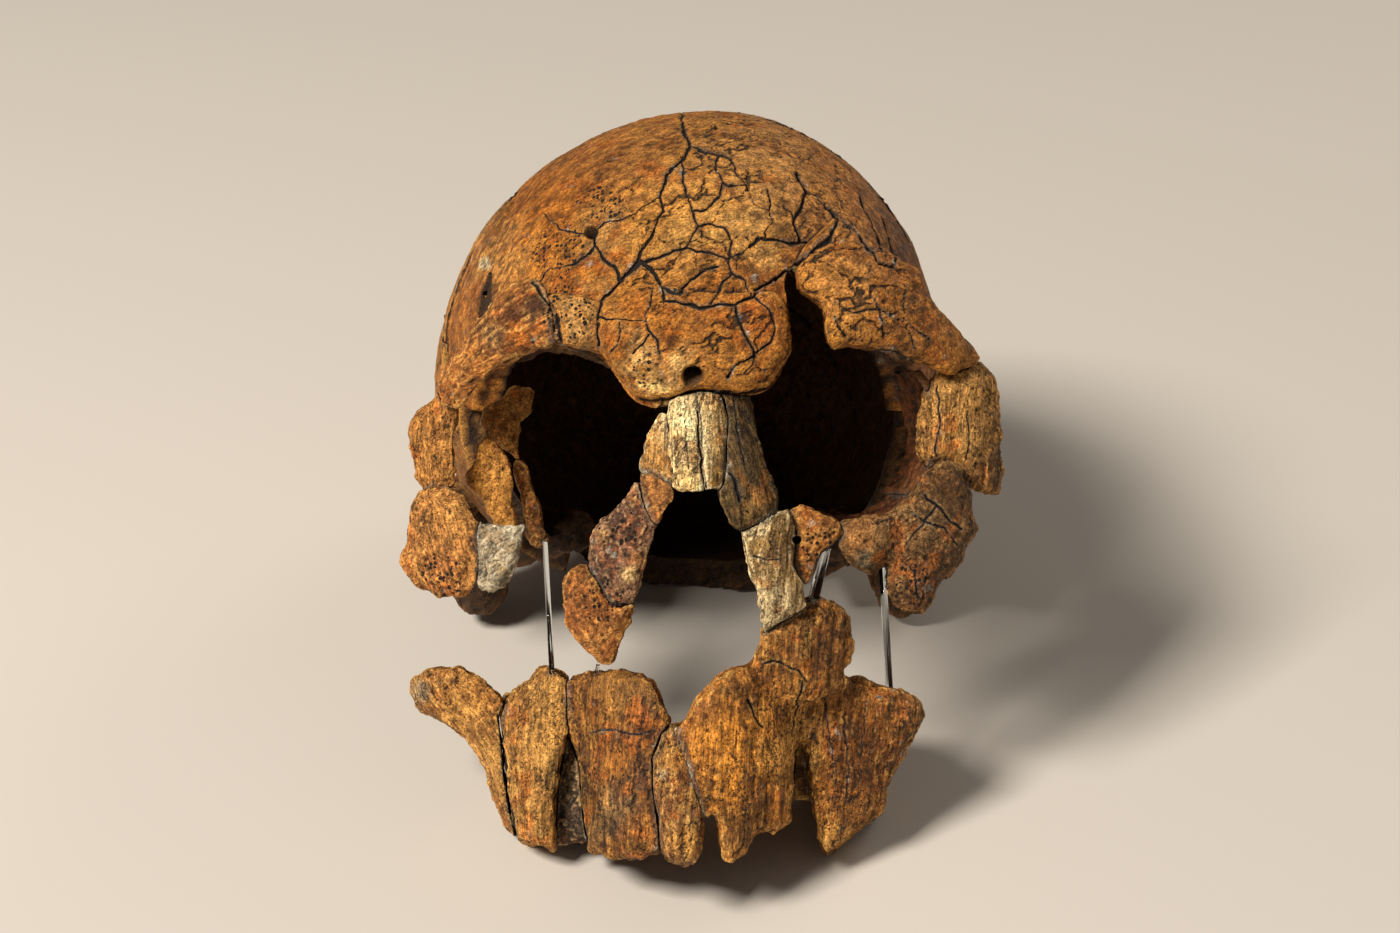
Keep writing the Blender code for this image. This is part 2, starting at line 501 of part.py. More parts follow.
FRAGMENTS = [
    Fragment("frontal_glabella", [
        (605, 308), (640, 275), (700, 286), (777, 282), (780, 300), (785, 330), (788, 348), (780, 362),
        (768, 384), (748, 391), (715, 388), (690, 387), (672, 399), (655, 403), (640, 397), (624, 374),
        (607, 352), (599, 346),
    ], glabella_face, 13.0, 4.0, 1.6),
    Fragment("brow_left", [
        (838, 222), (862, 238), (884, 254), (899, 267), (915, 272), (926, 303), (944, 323), (964, 344),
        (975, 358), (966, 364), (950, 371), (930, 362), (906, 351), (870, 342), (843, 341), (836, 346),
        (831, 338), (830, 322), (829, 302), (812, 293), (801, 285), (803, 262), (810, 248),
    ], upper_face, 10.0, 4.5, 2.4),
    Fragment("brow_right", [
        (531, 283), (543, 295), (555, 319), (553, 341), (535, 346), (514, 352), (491, 368), (475, 384),
        (458, 403), (447, 402), (441, 388), (449, 372), (462, 355), (478, 327), (498, 299), (515, 288),
    ], upper_face, 9.5, 4.0, 2.6),
    Fragment("brow_right_inner", [
        (544, 296), (575, 300), (604, 309), (599, 346), (585, 344), (570, 341), (554, 341), (556, 319),
    ], upper_face, 12.0, 4.0, 1.5),
    Fragment("orbit_side_right", [
        (431, 402), (443, 391), (456, 402), (454, 419), (450, 434), (450, 452), (453, 474), (454, 484),
        (436, 488), (426, 491), (420, 478), (417, 460), (415, 441), (415, 422), (420, 414),
    ], orbit_side_face, 8.0, 3.0, 2.2),
    Fragment("cheek_right", [
        (426, 492), (437, 489), (447, 489), (458, 496), (467, 507), (476, 524), (474, 537), (478, 559),
        (474, 569), (472, 586), (462, 593), (439, 594), (430, 586), (416, 580), (408, 572), (405, 563),
        (408, 550), (409, 530), (415, 511),
    ], cheek_face, 8.5, 4.5, 2.6),
    Fragment("cheek_right_inner", [
        (475, 530), (480, 523), (492, 524), (504, 527), (521, 528), (520, 546), (511, 569), (504, 584),
        (492, 591), (482, 587), (480, 567), (475, 548),
    ], cheek_face, 6.0, 4.0, 2.6),
    Fragment("sphenoid_right_upper", [
        (486, 411), (490, 408), (501, 406), (509, 393), (518, 388), (528, 388), (532, 395), (526, 415),
        (518, 413), (517, 430), (516, 441), (519, 458), (509, 449), (498, 439), (487, 433), (485, 422),
    ], lambda side, high: 27.0 + 0.5 * (side + 42.0), 3.4, 2.0, 0.8),
    Fragment("sphenoid_right_plate", [
        (486, 436), (494, 441), (503, 452), (509, 467), (510, 487), (509, 506), (514, 522), (511, 526),
        (501, 525), (492, 513), (483, 495), (476, 486), (469, 479), (474, 472), (480, 463), (480, 450),
    ], lambda side, high: 25.0 + 0.35 * (side + 42.0), 3.0, 2.0, 0.8),
    Fragment("sphenoid_right_strip", [
        (518, 461), (522, 466), (526, 475), (533, 491), (540, 508), (542, 532), (549, 540), (544, 545),
        (536, 544), (531, 533), (527, 511), (520, 487), (515, 470),
    ], lambda side, high: 31.0 + 0.4 * (side + 35.0), 3.0, 1.5, 0.6),
    Fragment("nasal_right", [
        (671, 400), (678, 394), (694, 391), (699, 430), (702, 487), (690, 488), (677, 487), (674, 450),
    ], nose_face, 4.2, 2.5, 0.9),
    Fragment("nasal_left", [
        (695, 391), (712, 391), (719, 398), (725, 420), (722, 448), (723, 470), (719, 486), (703, 487),
        (700, 430),
    ], nose_face, 4.2, 2.5, 0.9),
    Fragment("frontal_process_left_upper", [
        (721, 396), (746, 392), (752, 416), (758, 455), (767, 479), (776, 497), (775, 513), (764, 518),
        (747, 524), (738, 528), (731, 521), (723, 504), (720, 489), (724, 470), (723, 448), (726, 420),
    ], nose_face, 6.0, 3.0, 1.6),
    Fragment("frontal_process_left_lower", [
        (743, 529), (762, 520), (776, 516), (787, 512), (791, 529), (791, 548), (789, 561), (793, 577),
        (801, 586), (802, 606), (790, 614), (778, 620), (765, 630), (760, 592), (756, 570), (749, 546),
    ], nasal_margin_face, 6.0, 3.0, 1.6),
    Fragment("infraorbital_left", [
        (791, 512), (804, 506), (819, 514), (836, 524), (841, 533), (832, 542), (819, 548), (813, 559),
        (810, 574), (805, 579), (797, 574), (793, 557), (795, 535),
    ], cheek_face, 5.0, 3.0, 1.4),
    Fragment("infraorbital_left_knob", [
        (842, 527), (864, 519), (888, 517), (897, 529), (893, 546), (882, 563), (869, 569), (856, 561),
        (845, 547),
    ], cheek_face, 7.5, 4.0, 2.6),
    Fragment("cheek_left", [
        (889, 517), (910, 506), (920, 491), (922, 478), (936, 472), (944, 465), (958, 472), (964, 489),
        (969, 507), (971, 530), (967, 538), (960, 545), (960, 561), (949, 572), (933, 583), (929, 598),
        (920, 607), (908, 607), (897, 600), (890, 587), (893, 569), (895, 548), (899, 535),
    ], cheek_face, 8.5, 4.5, 2.2),
    Fragment("orbit_side_left", [
        (951, 371), (969, 363), (984, 369), (991, 384), (995, 404), (999, 437), (1001, 469), (997, 493),
        (987, 493), (973, 485), (961, 473), (951, 469), (936, 467), (923, 461), (919, 441), (921, 419),
        (927, 391), (935, 378),
    ], lambda side, high: 17.5 + 0.03 * max(0.0, side - 47.0) ** 2, 11.0, 5.0, 3.2),
    Fragment("nasal_margin_right_tip", [
        (662, 417), (670, 430), (672, 457), (671, 482), (664, 480), (654, 471), (644, 472), (644, 447),
        (651, 430),
    ], lambda side, high: 3.5 - 0.3 * (side + 6.0), 4.0, 2.0, 1.2),
    Fragment("nasal_margin_right_upper", [
        (643, 474), (654, 472), (665, 482), (672, 492), (662, 511), (656, 521), (649, 510), (644, 490),
    ], lambda side, high: 3.2 - 0.3 * (side + 6.0), 4.0, 2.0, 1.0),
    Fragment("nasal_margin_right", [
        (637, 485), (645, 492), (650, 511), (656, 526), (648, 548), (637, 579), (632, 600), (612, 606),
        (604, 588), (592, 568), (592, 552), (596, 533), (607, 521), (617, 510), (627, 498),
    ], lambda side, high: 4.2 + 0.1 * (-side - 12.0), 5.5, 3.0, 2.0),
    Fragment("nasal_margin_right_drop", [
        (564, 592), (569, 575), (578, 568), (591, 568), (604, 588), (611, 606), (632, 600), (624, 629),
        (616, 648), (611, 659), (599, 660), (592, 652), (578, 638), (567, 617),
    ], lambda side, high: 4.0 + 0.1 * (-side - 12.0), 6.0, 4.0, 2.4),
    Fragment("maxilla_left_column", [
        (765, 632), (779, 620), (791, 614), (803, 606), (818, 600), (833, 604), (847, 618), (849, 644),
        (846, 660), (838, 674), (846, 682), (830, 690), (812, 696), (781, 700), (766, 686), (755, 672),
        (755, 660), (763, 648),
    ], lambda side, high: 1.5 + 0.012 * max(0.0, side) ** 2, 8.0, 4.5, 2.0),
    Fragment("jaw_left_front", [
        (674, 734), (692, 721), (697, 708), (707, 692), (722, 680), (737, 671), (753, 673), (766, 688),
        (782, 702), (800, 700), (802, 730), (791, 742), (789, 772), (788, 805), (786, 821), (772, 830),
        (760, 823), (752, 832), (742, 846), (730, 858), (726, 846), (721, 815), (713, 803), (705, 811),
        (695, 788), (687, 764),
    ], jaw_face, 12.0, 3.0, 1.2, 0.05),
    Fragment("jaw_left_cheek_root", [
        (801, 699), (813, 697), (830, 691), (847, 683), (858, 683), (876, 690), (899, 694), (913, 702),
        (922, 715), (913, 728), (901, 744), (889, 764), (882, 785), (878, 809), (862, 821), (850, 827),
        (839, 839), (827, 850), (822, 830), (817, 808), (813, 780), (811, 754), (803, 731),
    ], jaw_face, 13.0, 4.0, 2.2, 0.10),
    Fragment("jaw_middle", [
        (665, 736), (672, 728), (680, 744), (688, 768), (693, 792), (700, 810), (699, 835), (697, 858),
        (688, 863), (674, 863), (664, 850), (662, 822), (657, 792), (656, 758),
    ], lambda side, high: -3.5 + 0.03 * side**2, 11.0, 3.0, 1.8),
    Fragment("jaw_right_front", [
        (570, 684), (586, 676), (610, 675), (640, 678), (652, 685), (660, 704), (667, 726), (660, 741),
        (656, 762), (655, 790), (656, 822), (655, 850), (640, 855), (615, 852), (593, 846), (588, 820),
        (586, 790), (583, 762), (576, 741), (570, 716),
    ], jaw_face, 12.0, 3.5, 1.8),
    Fragment("jaw_right_side", [
        (504, 716), (510, 700), (520, 690), (534, 680), (541, 670), (550, 668), (558, 675), (567, 683),
        (569, 700), (567, 720), (561, 740), (556, 770), (553, 800), (551, 846), (535, 842), (521, 838),
        (513, 806), (507, 764),
    ], jaw_face, 13.0, 3.5, 2.2),
    Fragment("jaw_right_cheek_root", [
        (413, 681), (425, 674), (445, 671), (462, 671), (480, 680), (497, 697), (503, 714), (506, 764),
        (512, 806), (518, 836), (508, 828), (500, 808), (489, 770), (471, 738), (451, 722), (430, 712),
        (416, 704),
    ], lambda side, high: jaw_face(side, high) + 1.5, 11.0, 3.5, 2.4, 0.06),
    Fragment("jaw_right_socket", [
        (557, 776), (563, 738), (571, 722), (577, 742), (583, 762), (586, 790), (588, 820), (586, 838),
        (560, 842), (552, 838), (554, 800),
    ], lambda side, high: jaw_face(side, high) + 6.5, 8.0, 3.0, 1.4),
]  # fmt: skip


def grown(obj: bpy.types.Object, by: float) -> bpy.types.Object:
    """A copy of the piece, swollen by this much, to cut its neighbour clear of it."""
    copy = bpy.data.objects.new(obj.name + "_grown", obj.data.copy())
    bpy.data.collections["cutters"].objects.link(copy)
    copy.hide_render = True
    swell = copy.modifiers.new("swell", "DISPLACE")
    swell.mid_level = 0.0
    swell.strength = by
    return bake(copy)


def box_of(obj: bpy.types.Object) -> tuple:
    points = np.array([v.co for v in obj.data.vertices])
    return points.min(axis=0), points.max(axis=0)


def cut_clear(obj: bpy.types.Object, others: list) -> bpy.types.Object:
    """Leaves the seam between this piece and every one made before it."""
    low, high = box_of(obj)
    cutters = []
    for other in others:
        floor, top = box_of(other)
        if (floor < high + SEAM).all() and (low < top + SEAM).all():
            cutters.append(grown(other, SEAM))
    combine(obj, cutters, "DIFFERENCE")
    discard(*cutters)
    keep_largest(obj)
    return obj


# What lies behind the face: orbit walls, palate and the side teeth's bone

ORBIT_DEPTH = 24.0
ORBIT_RADII = (22.0, 34.0, 22.2)
RIGHT_ORBIT = (549.0, 436.0)
LEFT_ORBIT = (838.0, 432.0)
ORBIT_WALL = 2.0


def orbit_wall(name: str, middle: Vector, keep: bpy.types.Object) -> bpy.types.Object:
    """The part of an orbit's thin cone of bone that the keeper holds."""
    outside = blob(name, middle, ORBIT_RADII, detail=3)
    inside = blob("inside", middle, tuple(radius - ORBIT_WALL for radius in ORBIT_RADII), detail=3)
    combine(outside, [inside], "DIFFERENCE")
    combine(outside, [keep], "INTERSECT")
    discard(inside, keep)
    keep_largest(outside)
    return organic(outside, 500, 3, 0.7)


def orbit_roof(name: str, middle: Vector, inner_end: float) -> bpy.types.Object:
    """The roof, from the orbit's outer side to this place across."""
    low, high, front, back = middle.z + 14.0, middle.z + 40.0, 9.0, 40.0
    outline = [(front, low), (back, low), (back, high), (front, high)]
    outer_end = middle.x + math.copysign(40.0, middle.x)
    ends = sorted((inner_end, outer_end))
    return orbit_wall(name, middle, prism("keep", outline, 0, *ends))


def orbit_walls() -> list:
    """Roofs of both orbits, and the side wall and floor that the left one keeps."""
    depth = (1.0 + 10.0 / VIEW_DISTANCE) * PIXEL
    right, left = (
        Vector(((column - EYE_COLUMN) * depth, ORBIT_DEPTH, (EYE_ROW - row) * depth))
        for column, row in (RIGHT_ORBIT, LEFT_ORBIT)
    )
    side = [(left.x + 12, 19), (left.x + 30, 19), (left.x + 30, 44), (left.x + 8, 44)]
    floor = [(left.x - 9, 24), (left.x + 18, 22), (left.x + 18, 40), (left.x - 3, 41)]
    return [
        orbit_roof("orbit_roof_right", right, right.x + 40.0),
        orbit_roof("orbit_roof_left", left, left.x - 1.0),
        orbit_wall("orbit_wall_left", left, prism("keep", side, 2, left.z - 13, left.z + 13)),
        orbit_wall("orbit_floor_left", left, prism("keep", floor, 2, left.z - 40, left.z - 11)),
    ]


# Top view of the tooth row and the palate, as (across, depth).
SIDE_RIDGE = [(28, 25), (37, 25), (40, 34), (40, 48), (36, 53), (30, 52), (27.5, 38)]
RIDGE_TOP, RIDGE_FOOT_FRONT, RIDGE_FOOT_BACK = -46.0, -73.5, -66.0
PALATE = [(-26, 22), (-12, 11), (12, 11), (26, 22), (29, 30), (29, 44), (12, 48), (-2, 46), (-16, 49),
          (-29, 44), (-29, 30)]  # fmt: skip
PALATE_TOP, PALATE_THICKNESS = -54.0, 5.0


def side_ridge(name: str, side: int) -> bpy.types.Object:
    """The bone of the back teeth, broken off shorter to the rear."""
    middle = FACE_MIDDLE
    ridge = prism(name, [(middle + side * x, y) for x, y in SIDE_RIDGE], 2, RIDGE_FOOT_FRONT, RIDGE_TOP)
    profile = [(0, RIDGE_TOP - 8), (20, RIDGE_TOP), (46, RIDGE_TOP - 2), (60, RIDGE_TOP - 8),
               (60, RIDGE_FOOT_BACK), (38, RIDGE_FOOT_FRONT + 1), (0, RIDGE_FOOT_FRONT)]  # fmt: skip
    lengthwise = shrunk("lengthwise", profile)
    sockets = [blob("socket", (middle + side * 33.0, depth, foot), (3.2, 2.6, 8.0))
               for depth, foot in ((30, -75), (38, -74), (46, -71))]  # fmt: skip
    combine(ridge, [lengthwise], "INTERSECT")
    combine(ridge, sockets, "DIFFERENCE")
    discard(lengthwise, *sockets)
    return organic(ridge, 900, 4)


def palate() -> bpy.types.Object:
    """The roof of the mouth, arched, with its broken back edge."""
    middle = FACE_MIDDLE
    plate = prism("palate", [(middle + x, y) for x, y in PALATE], 2, PALATE_TOP - 14, PALATE_TOP)
    arch = blob("arch", (middle, 38, PALATE_TOP - 15), (24, 44, 15 - PALATE_THICKNESS + 2))
    combine(plate, [arch], "DIFFERENCE")
    discard(arch)
    keep_largest(plate)
    return organic(plate, 900, 4)


# The mount: clear rods and a wire, each from one place of the front view to another
RODS = {
    "rod_right": ((545, 541, 32.5), (552, 674, 17.0), 0.55),
    "rod_left": ((882, 560, 13.5), (890, 700, 26.0), 0.75),
    "rod_left_inner": ((828, 538, 9.5), (812, 606, 11.0), 1.1),
    "wire_right": ((601, 652, 7.0), (594, 682, 14.0), 0.4),
}


def rod(name: str, start: tuple, end: tuple, radius: float) -> bpy.types.Object:
    return taper(name, seen(*start), seen(*end), (radius, radius), 12)


# Assembly

COLOURS = {
    "vault": (0.36, 0.19, 0.07),
    "face": (0.42, 0.23, 0.09),
    "nasal": (0.55, 0.38, 0.19),
    "jaw": (0.40, 0.21, 0.08),
    "pale": (0.50, 0.42, 0.30),
    "rod": (0.75, 0.78, 0.80),
}


def slot_of(name: str) -> str:
    if name.startswith(("frontal_process", "nasal")):
        return "nasal"
    if name.startswith(("frontal", "brow_left", "brow_right_inner", "parietal", "temporal", "occipital")):
        return "vault"
    if name.startswith(("rod", "wire")):
        return "rod"
    if name == "cheek_right_inner":
        return "pale"
    return "jaw" if name.startswith(("jaw", "palate", "maxilla")) else "face"


def bone_material(slot: str) -> bpy.types.Material:
    material = bpy.data.materials.get(slot) or bpy.data.materials.new(slot)
    material.use_nodes = True
    shader = material.node_tree.nodes["Principled BSDF"]
    shader.inputs["Base Color"].default_value = (*COLOURS[slot], 1.0)
    shader.inputs["Roughness"].default_value = 0.15 if slot == "rod" else 0.72
    shader.inputs["Metallic"].default_value = 0.0
    return material


BRAINCASE = {
    "frontal": frontal_bone,
    "parietal_right": lambda shell: parietal_bone(shell, -1),
    "parietal_left": lambda shell: parietal_bone(shell, 1),
    "temporal_right": lambda shell: temporal_bone(shell, -1),
    "temporal_left": lambda shell: temporal_bone(shell, 1),
    "occipital": occipital_bone,
}


def resting_tilt(points: np.ndarray) -> float:
    """How far the face looks up when the tooth row and the base come down to the floor together."""
    base = points[:, 1] > VAULT_MIDDLE[1]
    least, most = LEAST_TILT, MOST_TILT
    for _ in range(30):
        tilt = (least + most) / 2
        height = points[:, 2] * math.cos(tilt) - points[:, 1] * math.sin(tilt)
        if height[base].min() > height[~base].min():
            least = tilt
        else:
            most = tilt
    return tilt


def seat(objects: list) -> None:
    """Tilts the cranium back to where it lies, in metres, with small flats where it meets the floor."""
    vertices = [np.array([v.co for v in obj.data.vertices]) for obj in objects]
    tilt = resting_tilt(np.concatenate(vertices))
    turn = Matrix.Rotation(-tilt, 4, "X")
    for obj in objects:
        obj.data.transform(turn)
    level = min(box_of(obj)[0][2] for obj in objects) + FLAT
    floor = prism("floor", [(-200, -200), (200, -200), (200, 300), (-200, 300)], 2, level - 50, level)
    for obj in objects:
        if box_of(obj)[0][2] < level:
            combine(obj, [floor], "DIFFERENCE")
            keep_largest(obj)
    discard(floor)
    boxes = [box_of(obj) for obj in objects]
    low, high = np.min([box[0] for box in boxes], axis=0), np.max([box[1] for box in boxes], axis=0)
    shift = Matrix.Translation((-(low[0] + high[0]) / 2, -(low[1] + high[1]) / 2, -low[2]))
    for obj in objects:
        obj.data.transform(Matrix.Scale(MILLIMETRE, 4) @ shift)
    skull = bpy.data.collections["fossil_cranium"]
    skull["tilt_degrees"] = math.degrees(tilt)
    skull["face_frame_origin"] = list(shift.translation)


def finish(obj: bpy.types.Object, skull: bpy.types.Collection) -> None:
    obj.hide_render = False
    obj.display_type = "TEXTURED"
    bpy.data.collections["cutters"].objects.unlink(obj)
    skull.objects.link(obj)
    obj.data.materials.clear()
    obj.data.materials.append(bone_material(slot_of(obj.name)))
    obj.data.shade_smooth()
    obj.data.set_sharp_from_angle(angle=math.radians(40))


def main() -> None:
    for obj in list(bpy.data.objects):
        bpy.data.objects.remove(obj)
    skull = collection_of("fossil_cranium")
    collection_of("cutters")
    made = []
    whole = vault_shell("whole")
    for name, maker in BRAINCASE.items():
        shell = bpy.data.objects.new(name, whole.data.copy())
        bpy.data.collections["cutters"].objects.link(shell)
        made.append(cut_clear(maker(shell), made))
    discard(whole)
    for piece in FRAGMENTS:
        triangles = round(75 + 0.55 * area_of(piece.outline))
        slab = organic(fragment_raw(piece), 2 * triangles)
        made.append(fewer(cut_clear(slab, made), triangles))
    for inner, triangles in (
        (side_ridge("jaw_right_back", -1), 300),
        (side_ridge("jaw_left_back", 1), 300),
        (palate(), 300),
        *((wall, 170) for wall in orbit_walls()),
    ):
        made.append(fewer(cut_clear(inner, made), triangles))
    bones = list(made)
    for name, (start, end, radius) in RODS.items():
        made.append(cut_clear(rod(name, start, end, radius), bones))
    seat(made)
    for obj in made:
        finish(obj, skull)


main()
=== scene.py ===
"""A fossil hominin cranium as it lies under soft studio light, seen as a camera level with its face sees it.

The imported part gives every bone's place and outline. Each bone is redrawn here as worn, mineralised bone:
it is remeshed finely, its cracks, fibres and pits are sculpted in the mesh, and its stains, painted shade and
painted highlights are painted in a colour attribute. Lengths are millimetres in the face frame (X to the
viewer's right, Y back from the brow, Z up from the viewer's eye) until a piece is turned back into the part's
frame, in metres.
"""

import itertools
import json
import logging
import math
from dataclasses import dataclass, replace
from enum import Enum

import bmesh
import bpy
import numpy as np
from mathutils import Matrix, Vector
from mathutils.bvhtree import BVHTree

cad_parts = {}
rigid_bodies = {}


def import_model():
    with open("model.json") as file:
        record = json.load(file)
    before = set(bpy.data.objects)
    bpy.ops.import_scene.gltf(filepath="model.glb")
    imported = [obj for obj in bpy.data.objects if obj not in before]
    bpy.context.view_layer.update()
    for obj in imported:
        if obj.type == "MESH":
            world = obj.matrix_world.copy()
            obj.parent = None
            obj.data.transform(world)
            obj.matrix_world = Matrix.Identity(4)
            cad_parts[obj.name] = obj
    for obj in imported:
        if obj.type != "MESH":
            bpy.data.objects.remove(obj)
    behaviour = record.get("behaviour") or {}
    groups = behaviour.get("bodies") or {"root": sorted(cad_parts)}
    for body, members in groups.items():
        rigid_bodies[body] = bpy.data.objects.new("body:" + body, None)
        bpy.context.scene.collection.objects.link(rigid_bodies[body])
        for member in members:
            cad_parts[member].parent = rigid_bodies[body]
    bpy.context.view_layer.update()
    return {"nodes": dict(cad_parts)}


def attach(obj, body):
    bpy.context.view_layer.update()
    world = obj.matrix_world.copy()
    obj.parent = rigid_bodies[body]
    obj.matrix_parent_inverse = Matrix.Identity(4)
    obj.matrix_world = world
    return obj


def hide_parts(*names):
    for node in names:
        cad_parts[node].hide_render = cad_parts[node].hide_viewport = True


log = logging.getLogger("cranium")

# The camera and the face frame
VIEW_DISTANCE = 600.0
PIXEL = 91.0 / (861.0 - 397.0)  # millimetres on the face plane to one pixel of the picture
EYE = (700.0, 466.5)
PICTURE_WIDTH = 1400
TILT = math.radians(27.997)
FACE_ORIGIN = (-0.882, -62.218, 83.916)

# The braincase, as an ellipsoid that is fuller along than across
VAULT_MIDDLE = (2.5, 88.0, 18.0)
VAULT_HALVES = (61.0, 51.5)
VAULT_REACH = (84.0, 80.0)
VAULT_RISE = (60.6, 51.0)
VAULT_WALL = 6.5
FULLNESS = (2.25, 2.1)
PINCH = 0.15  # how much narrower it is behind the orbits
PINCH_DEPTH = 31.0
PINCH_REACH = 17.0
PINCH_TOP = 30.0
PINCH_FADE = 22.0
GAUGE = 60.0  # about how many millimetres one unit of vault_gauge is
ON_WALL = 0.95  # the least vault_gauge that still counts as the outer side

METRE = 1000.0
WELD = 1e-6  # metres
FAR = 9.0  # stands for any distance too great to matter
ENDLESS = 1e9
SEAM_REACH = 3.5  # how far off the next bone is still looked for
WANDER_SIZE = 2.4
WANDER = 1.3  # pixels
MARGIN = 8  # pixels
BROW_PLANE = 0.0
REFINED = (99.0, 0.6)  # the whole forehead first, then only along its cracks
PORE_SPACING, PORE_RADIUS, PORE_DEPTH = 1.15, 0.34, 0.5
SENSOR = 36.0

FILLER = "#474E50"
HOLLOW_SHADE = "#2B2019"
DARK_FILL_AND_HOLE_SHADE = "#211C19"
PLASTER = "#B8B2A2"
BACK_LIGHT = "#CBA568"
BACK_DARK = "#5A3A20"
LOWER_VAULT_SHADE = "#4A3020"
INSIDE_SHADE = "#2E2016"


def linear(code: str) -> np.ndarray:
    """Turns an sRGB hex colour into linear light.

    Args:
        code: The colour as "#RRGGBB".

    Returns:
        Three linear values from 0 to 1.
    """
    values = np.array([int(code[i : i + 2], 16) for i in (1, 3, 5)]) / 255.0
    return np.where(values <= 0.04045, values / 12.92, ((values + 0.055) / 1.055) ** 2.4)


def place_object(name: str, data: bpy.types.ID) -> bpy.types.Object:
    """Puts a mesh, a light or a camera into the scene.

    Args:
        name: The new object's name.
        data: What it shows.

    Returns:
        The new object.
    """
    obj = bpy.data.objects.new(name, data)
    bpy.context.scene.collection.objects.link(obj)
    return obj


class FaceView:
    """Turns places between the part's frame, the face frame and the picture."""

    def __init__(self, tilt: float, origin: tuple[float, float, float]) -> None:
        """Sets how the cranium lies.

        Args:
            tilt: How far the face looks up, in radians.
            origin: Where the face frame's origin lies in the part's frame, in millimetres.
        """
        self.turn = np.array(Matrix.Rotation(-tilt, 3, "X"))
        self.origin = np.array(origin)

    def to_face(self, metres: np.ndarray) -> np.ndarray:
        """Gives points of the part in the face frame.

        Args:
            metres: Points in the part's frame, one a row.

        Returns:
            The same points in the face frame, in millimetres.
        """
        return (metres * METRE - self.origin) @ self.turn

    def to_part(self, points: np.ndarray) -> np.ndarray:
        """Gives points of the face frame in the part's frame.

        Args:
            points: Points in the face frame, in millimetres.

        Returns:
            The same points in the part's frame, in metres.
        """
        return (points @ self.turn.T + self.origin) / METRE

    def matrix(self) -> Matrix:
        """Gives the same move as a matrix, for lights and the camera.

        Returns:
            The matrix from the face frame in metres to the part's frame.
        """
        return Matrix.Translation(Vector(self.origin / METRE)) @ Matrix(self.turn.tolist()).to_4x4()

    @staticmethod
    def to_picture(points: np.ndarray) -> np.ndarray:
        """Gives where points of the face frame appear.

        Args:
            points: Points in the face frame.

        Returns:
            A column and a row for each.
        """
        spread = PIXEL * (1.0 + points[:, 1] / VIEW_DISTANCE)
        return np.stack([EYE[0] + points[:, 0] / spread, EYE[1] - points[:, 2] / spread], axis=1)


FACE = FaceView(TILT, FACE_ORIGIN)


class Lattice:
    """Seeded smooth noise and cells, worked out for many points at once."""

    SIZE = 32

    def __init__(self, seed: int) -> None:
        """Draws the random values.

        Args:
            seed: The same seed gives the same pattern.
        """
        draw = np.random.default_rng(seed)
        self.values = draw.uniform(-1.0, 1.0, (self.SIZE,) * 3)
        self.spots = draw.uniform(0.08, 0.92, (self.SIZE,) * 3 + (3,))

    def _pick(self, table: np.ndarray, cell: np.ndarray) -> np.ndarray:
        x, y, z = (cell % self.SIZE).T
        return table[x, y, z]

    def noise(self, points: np.ndarray, size: float) -> np.ndarray:
        """Gives smooth noise.

        Args:
            points: Where to read it, in millimetres.
            size: The width of one bump, in millimetres.

        Returns:
            A value from -1 to 1 for each point.
        """
        scaled = points / size
        cell = np.floor(scaled).astype(np.int64)
        share = scaled - cell
        share = share * share * (3.0 - 2.0 * share)
        total = np.zeros(len(points))
        for corner in itertools.product((0, 1), repeat=3):
            weight = np.prod(np.where(corner, share, 1.0 - share), axis=1)
            total += weight * self._pick(self.values, cell + corner)
        return total

    def fractal(self, points: np.ndarray, size: float, octaves: int = 3) -> np.ndarray:
        """Adds finer and finer noise, each turned so that no grid shows.

        Args:
            points: Where to read it, in millimetres.
            size: The width of the largest bumps.
            octaves: How many sizes are added.

        Returns:
            A value of roughly -1 to 1 for each point.
        """
        turn = np.array(Matrix.Rotation(0.9, 3, Vector((1.0, 2.0, 3.0))))
        total = np.zeros(len(points))
        strength = 1.0
        for step in range(octaves):
            points = points @ turn + 17.3
            total += strength * self.noise(points, size / 2.0**step)
            strength *= 0.55
        return total * 1.25

    def cells(self, points: np.ndarray, size: float) -> tuple[np.ndarray, np.ndarray, np.ndarray]:
        """Divides space into cells as dried mud is divided.

        Args:
            points: Where to read them, in millimetres.
            size: The width of a cell.

        Returns:
            For each point, millimetres to its cell's middle, about how many to its border, and a value of
            -1 to 1 that the whole cell shares.
        """
        scaled = points / size
        cell = np.floor(scaled).astype(np.int64)
        first = np.full(len(points), ENDLESS)
        second = first.copy()
        shared = np.zeros(len(points))
        for corner in itertools.product((-1, 0, 1), repeat=3):
            other = cell + corner
            away = np.linalg.norm(other + self._pick(self.spots, other) - scaled, axis=1)
            nearer = away < first
            second = np.where(nearer, first, np.minimum(second, away))
            shared = np.where(nearer, self._pick(self.values, other), shared)
            first = np.where(nearer, away, first)
        return first * size, (second - first) * size / 2.0, shared


def ramp(values: np.ndarray, low: float, high: float) -> np.ndarray:
    """Gives 0 below low, 1 above high and a smooth step between.

    Args:
        values: The values to grade.
        low: Where the step starts.
        high: Where it ends.

    Returns:
        A grade from 0 to 1 for each value.
    """
    share = np.clip((values - low) / (high - low), 0.0, 1.0)
    return share * share * (3.0 - 2.0 * share)


def line_distance(places: np.ndarray, line: list[float]) -> np.ndarray:
    """Measures how far places in the picture are from a line.

    Args:
        places: Columns and rows.
        line: The column and row of each of the line's points, one after the other.

    Returns:
        Millimetres on the face plane, for each place.
    """
    nearest = np.full(len(places), ENDLESS)
    points = np.reshape(line, (-1, 2))
    for start, end in zip(points, points[1:]):
        run = end - start
        share = np.clip((places - start) @ run / (run @ run), 0.0, 1.0)
        nearest = np.minimum(nearest, np.linalg.norm(places - start - share[:, None] * run, axis=1))
    return nearest * PIXEL


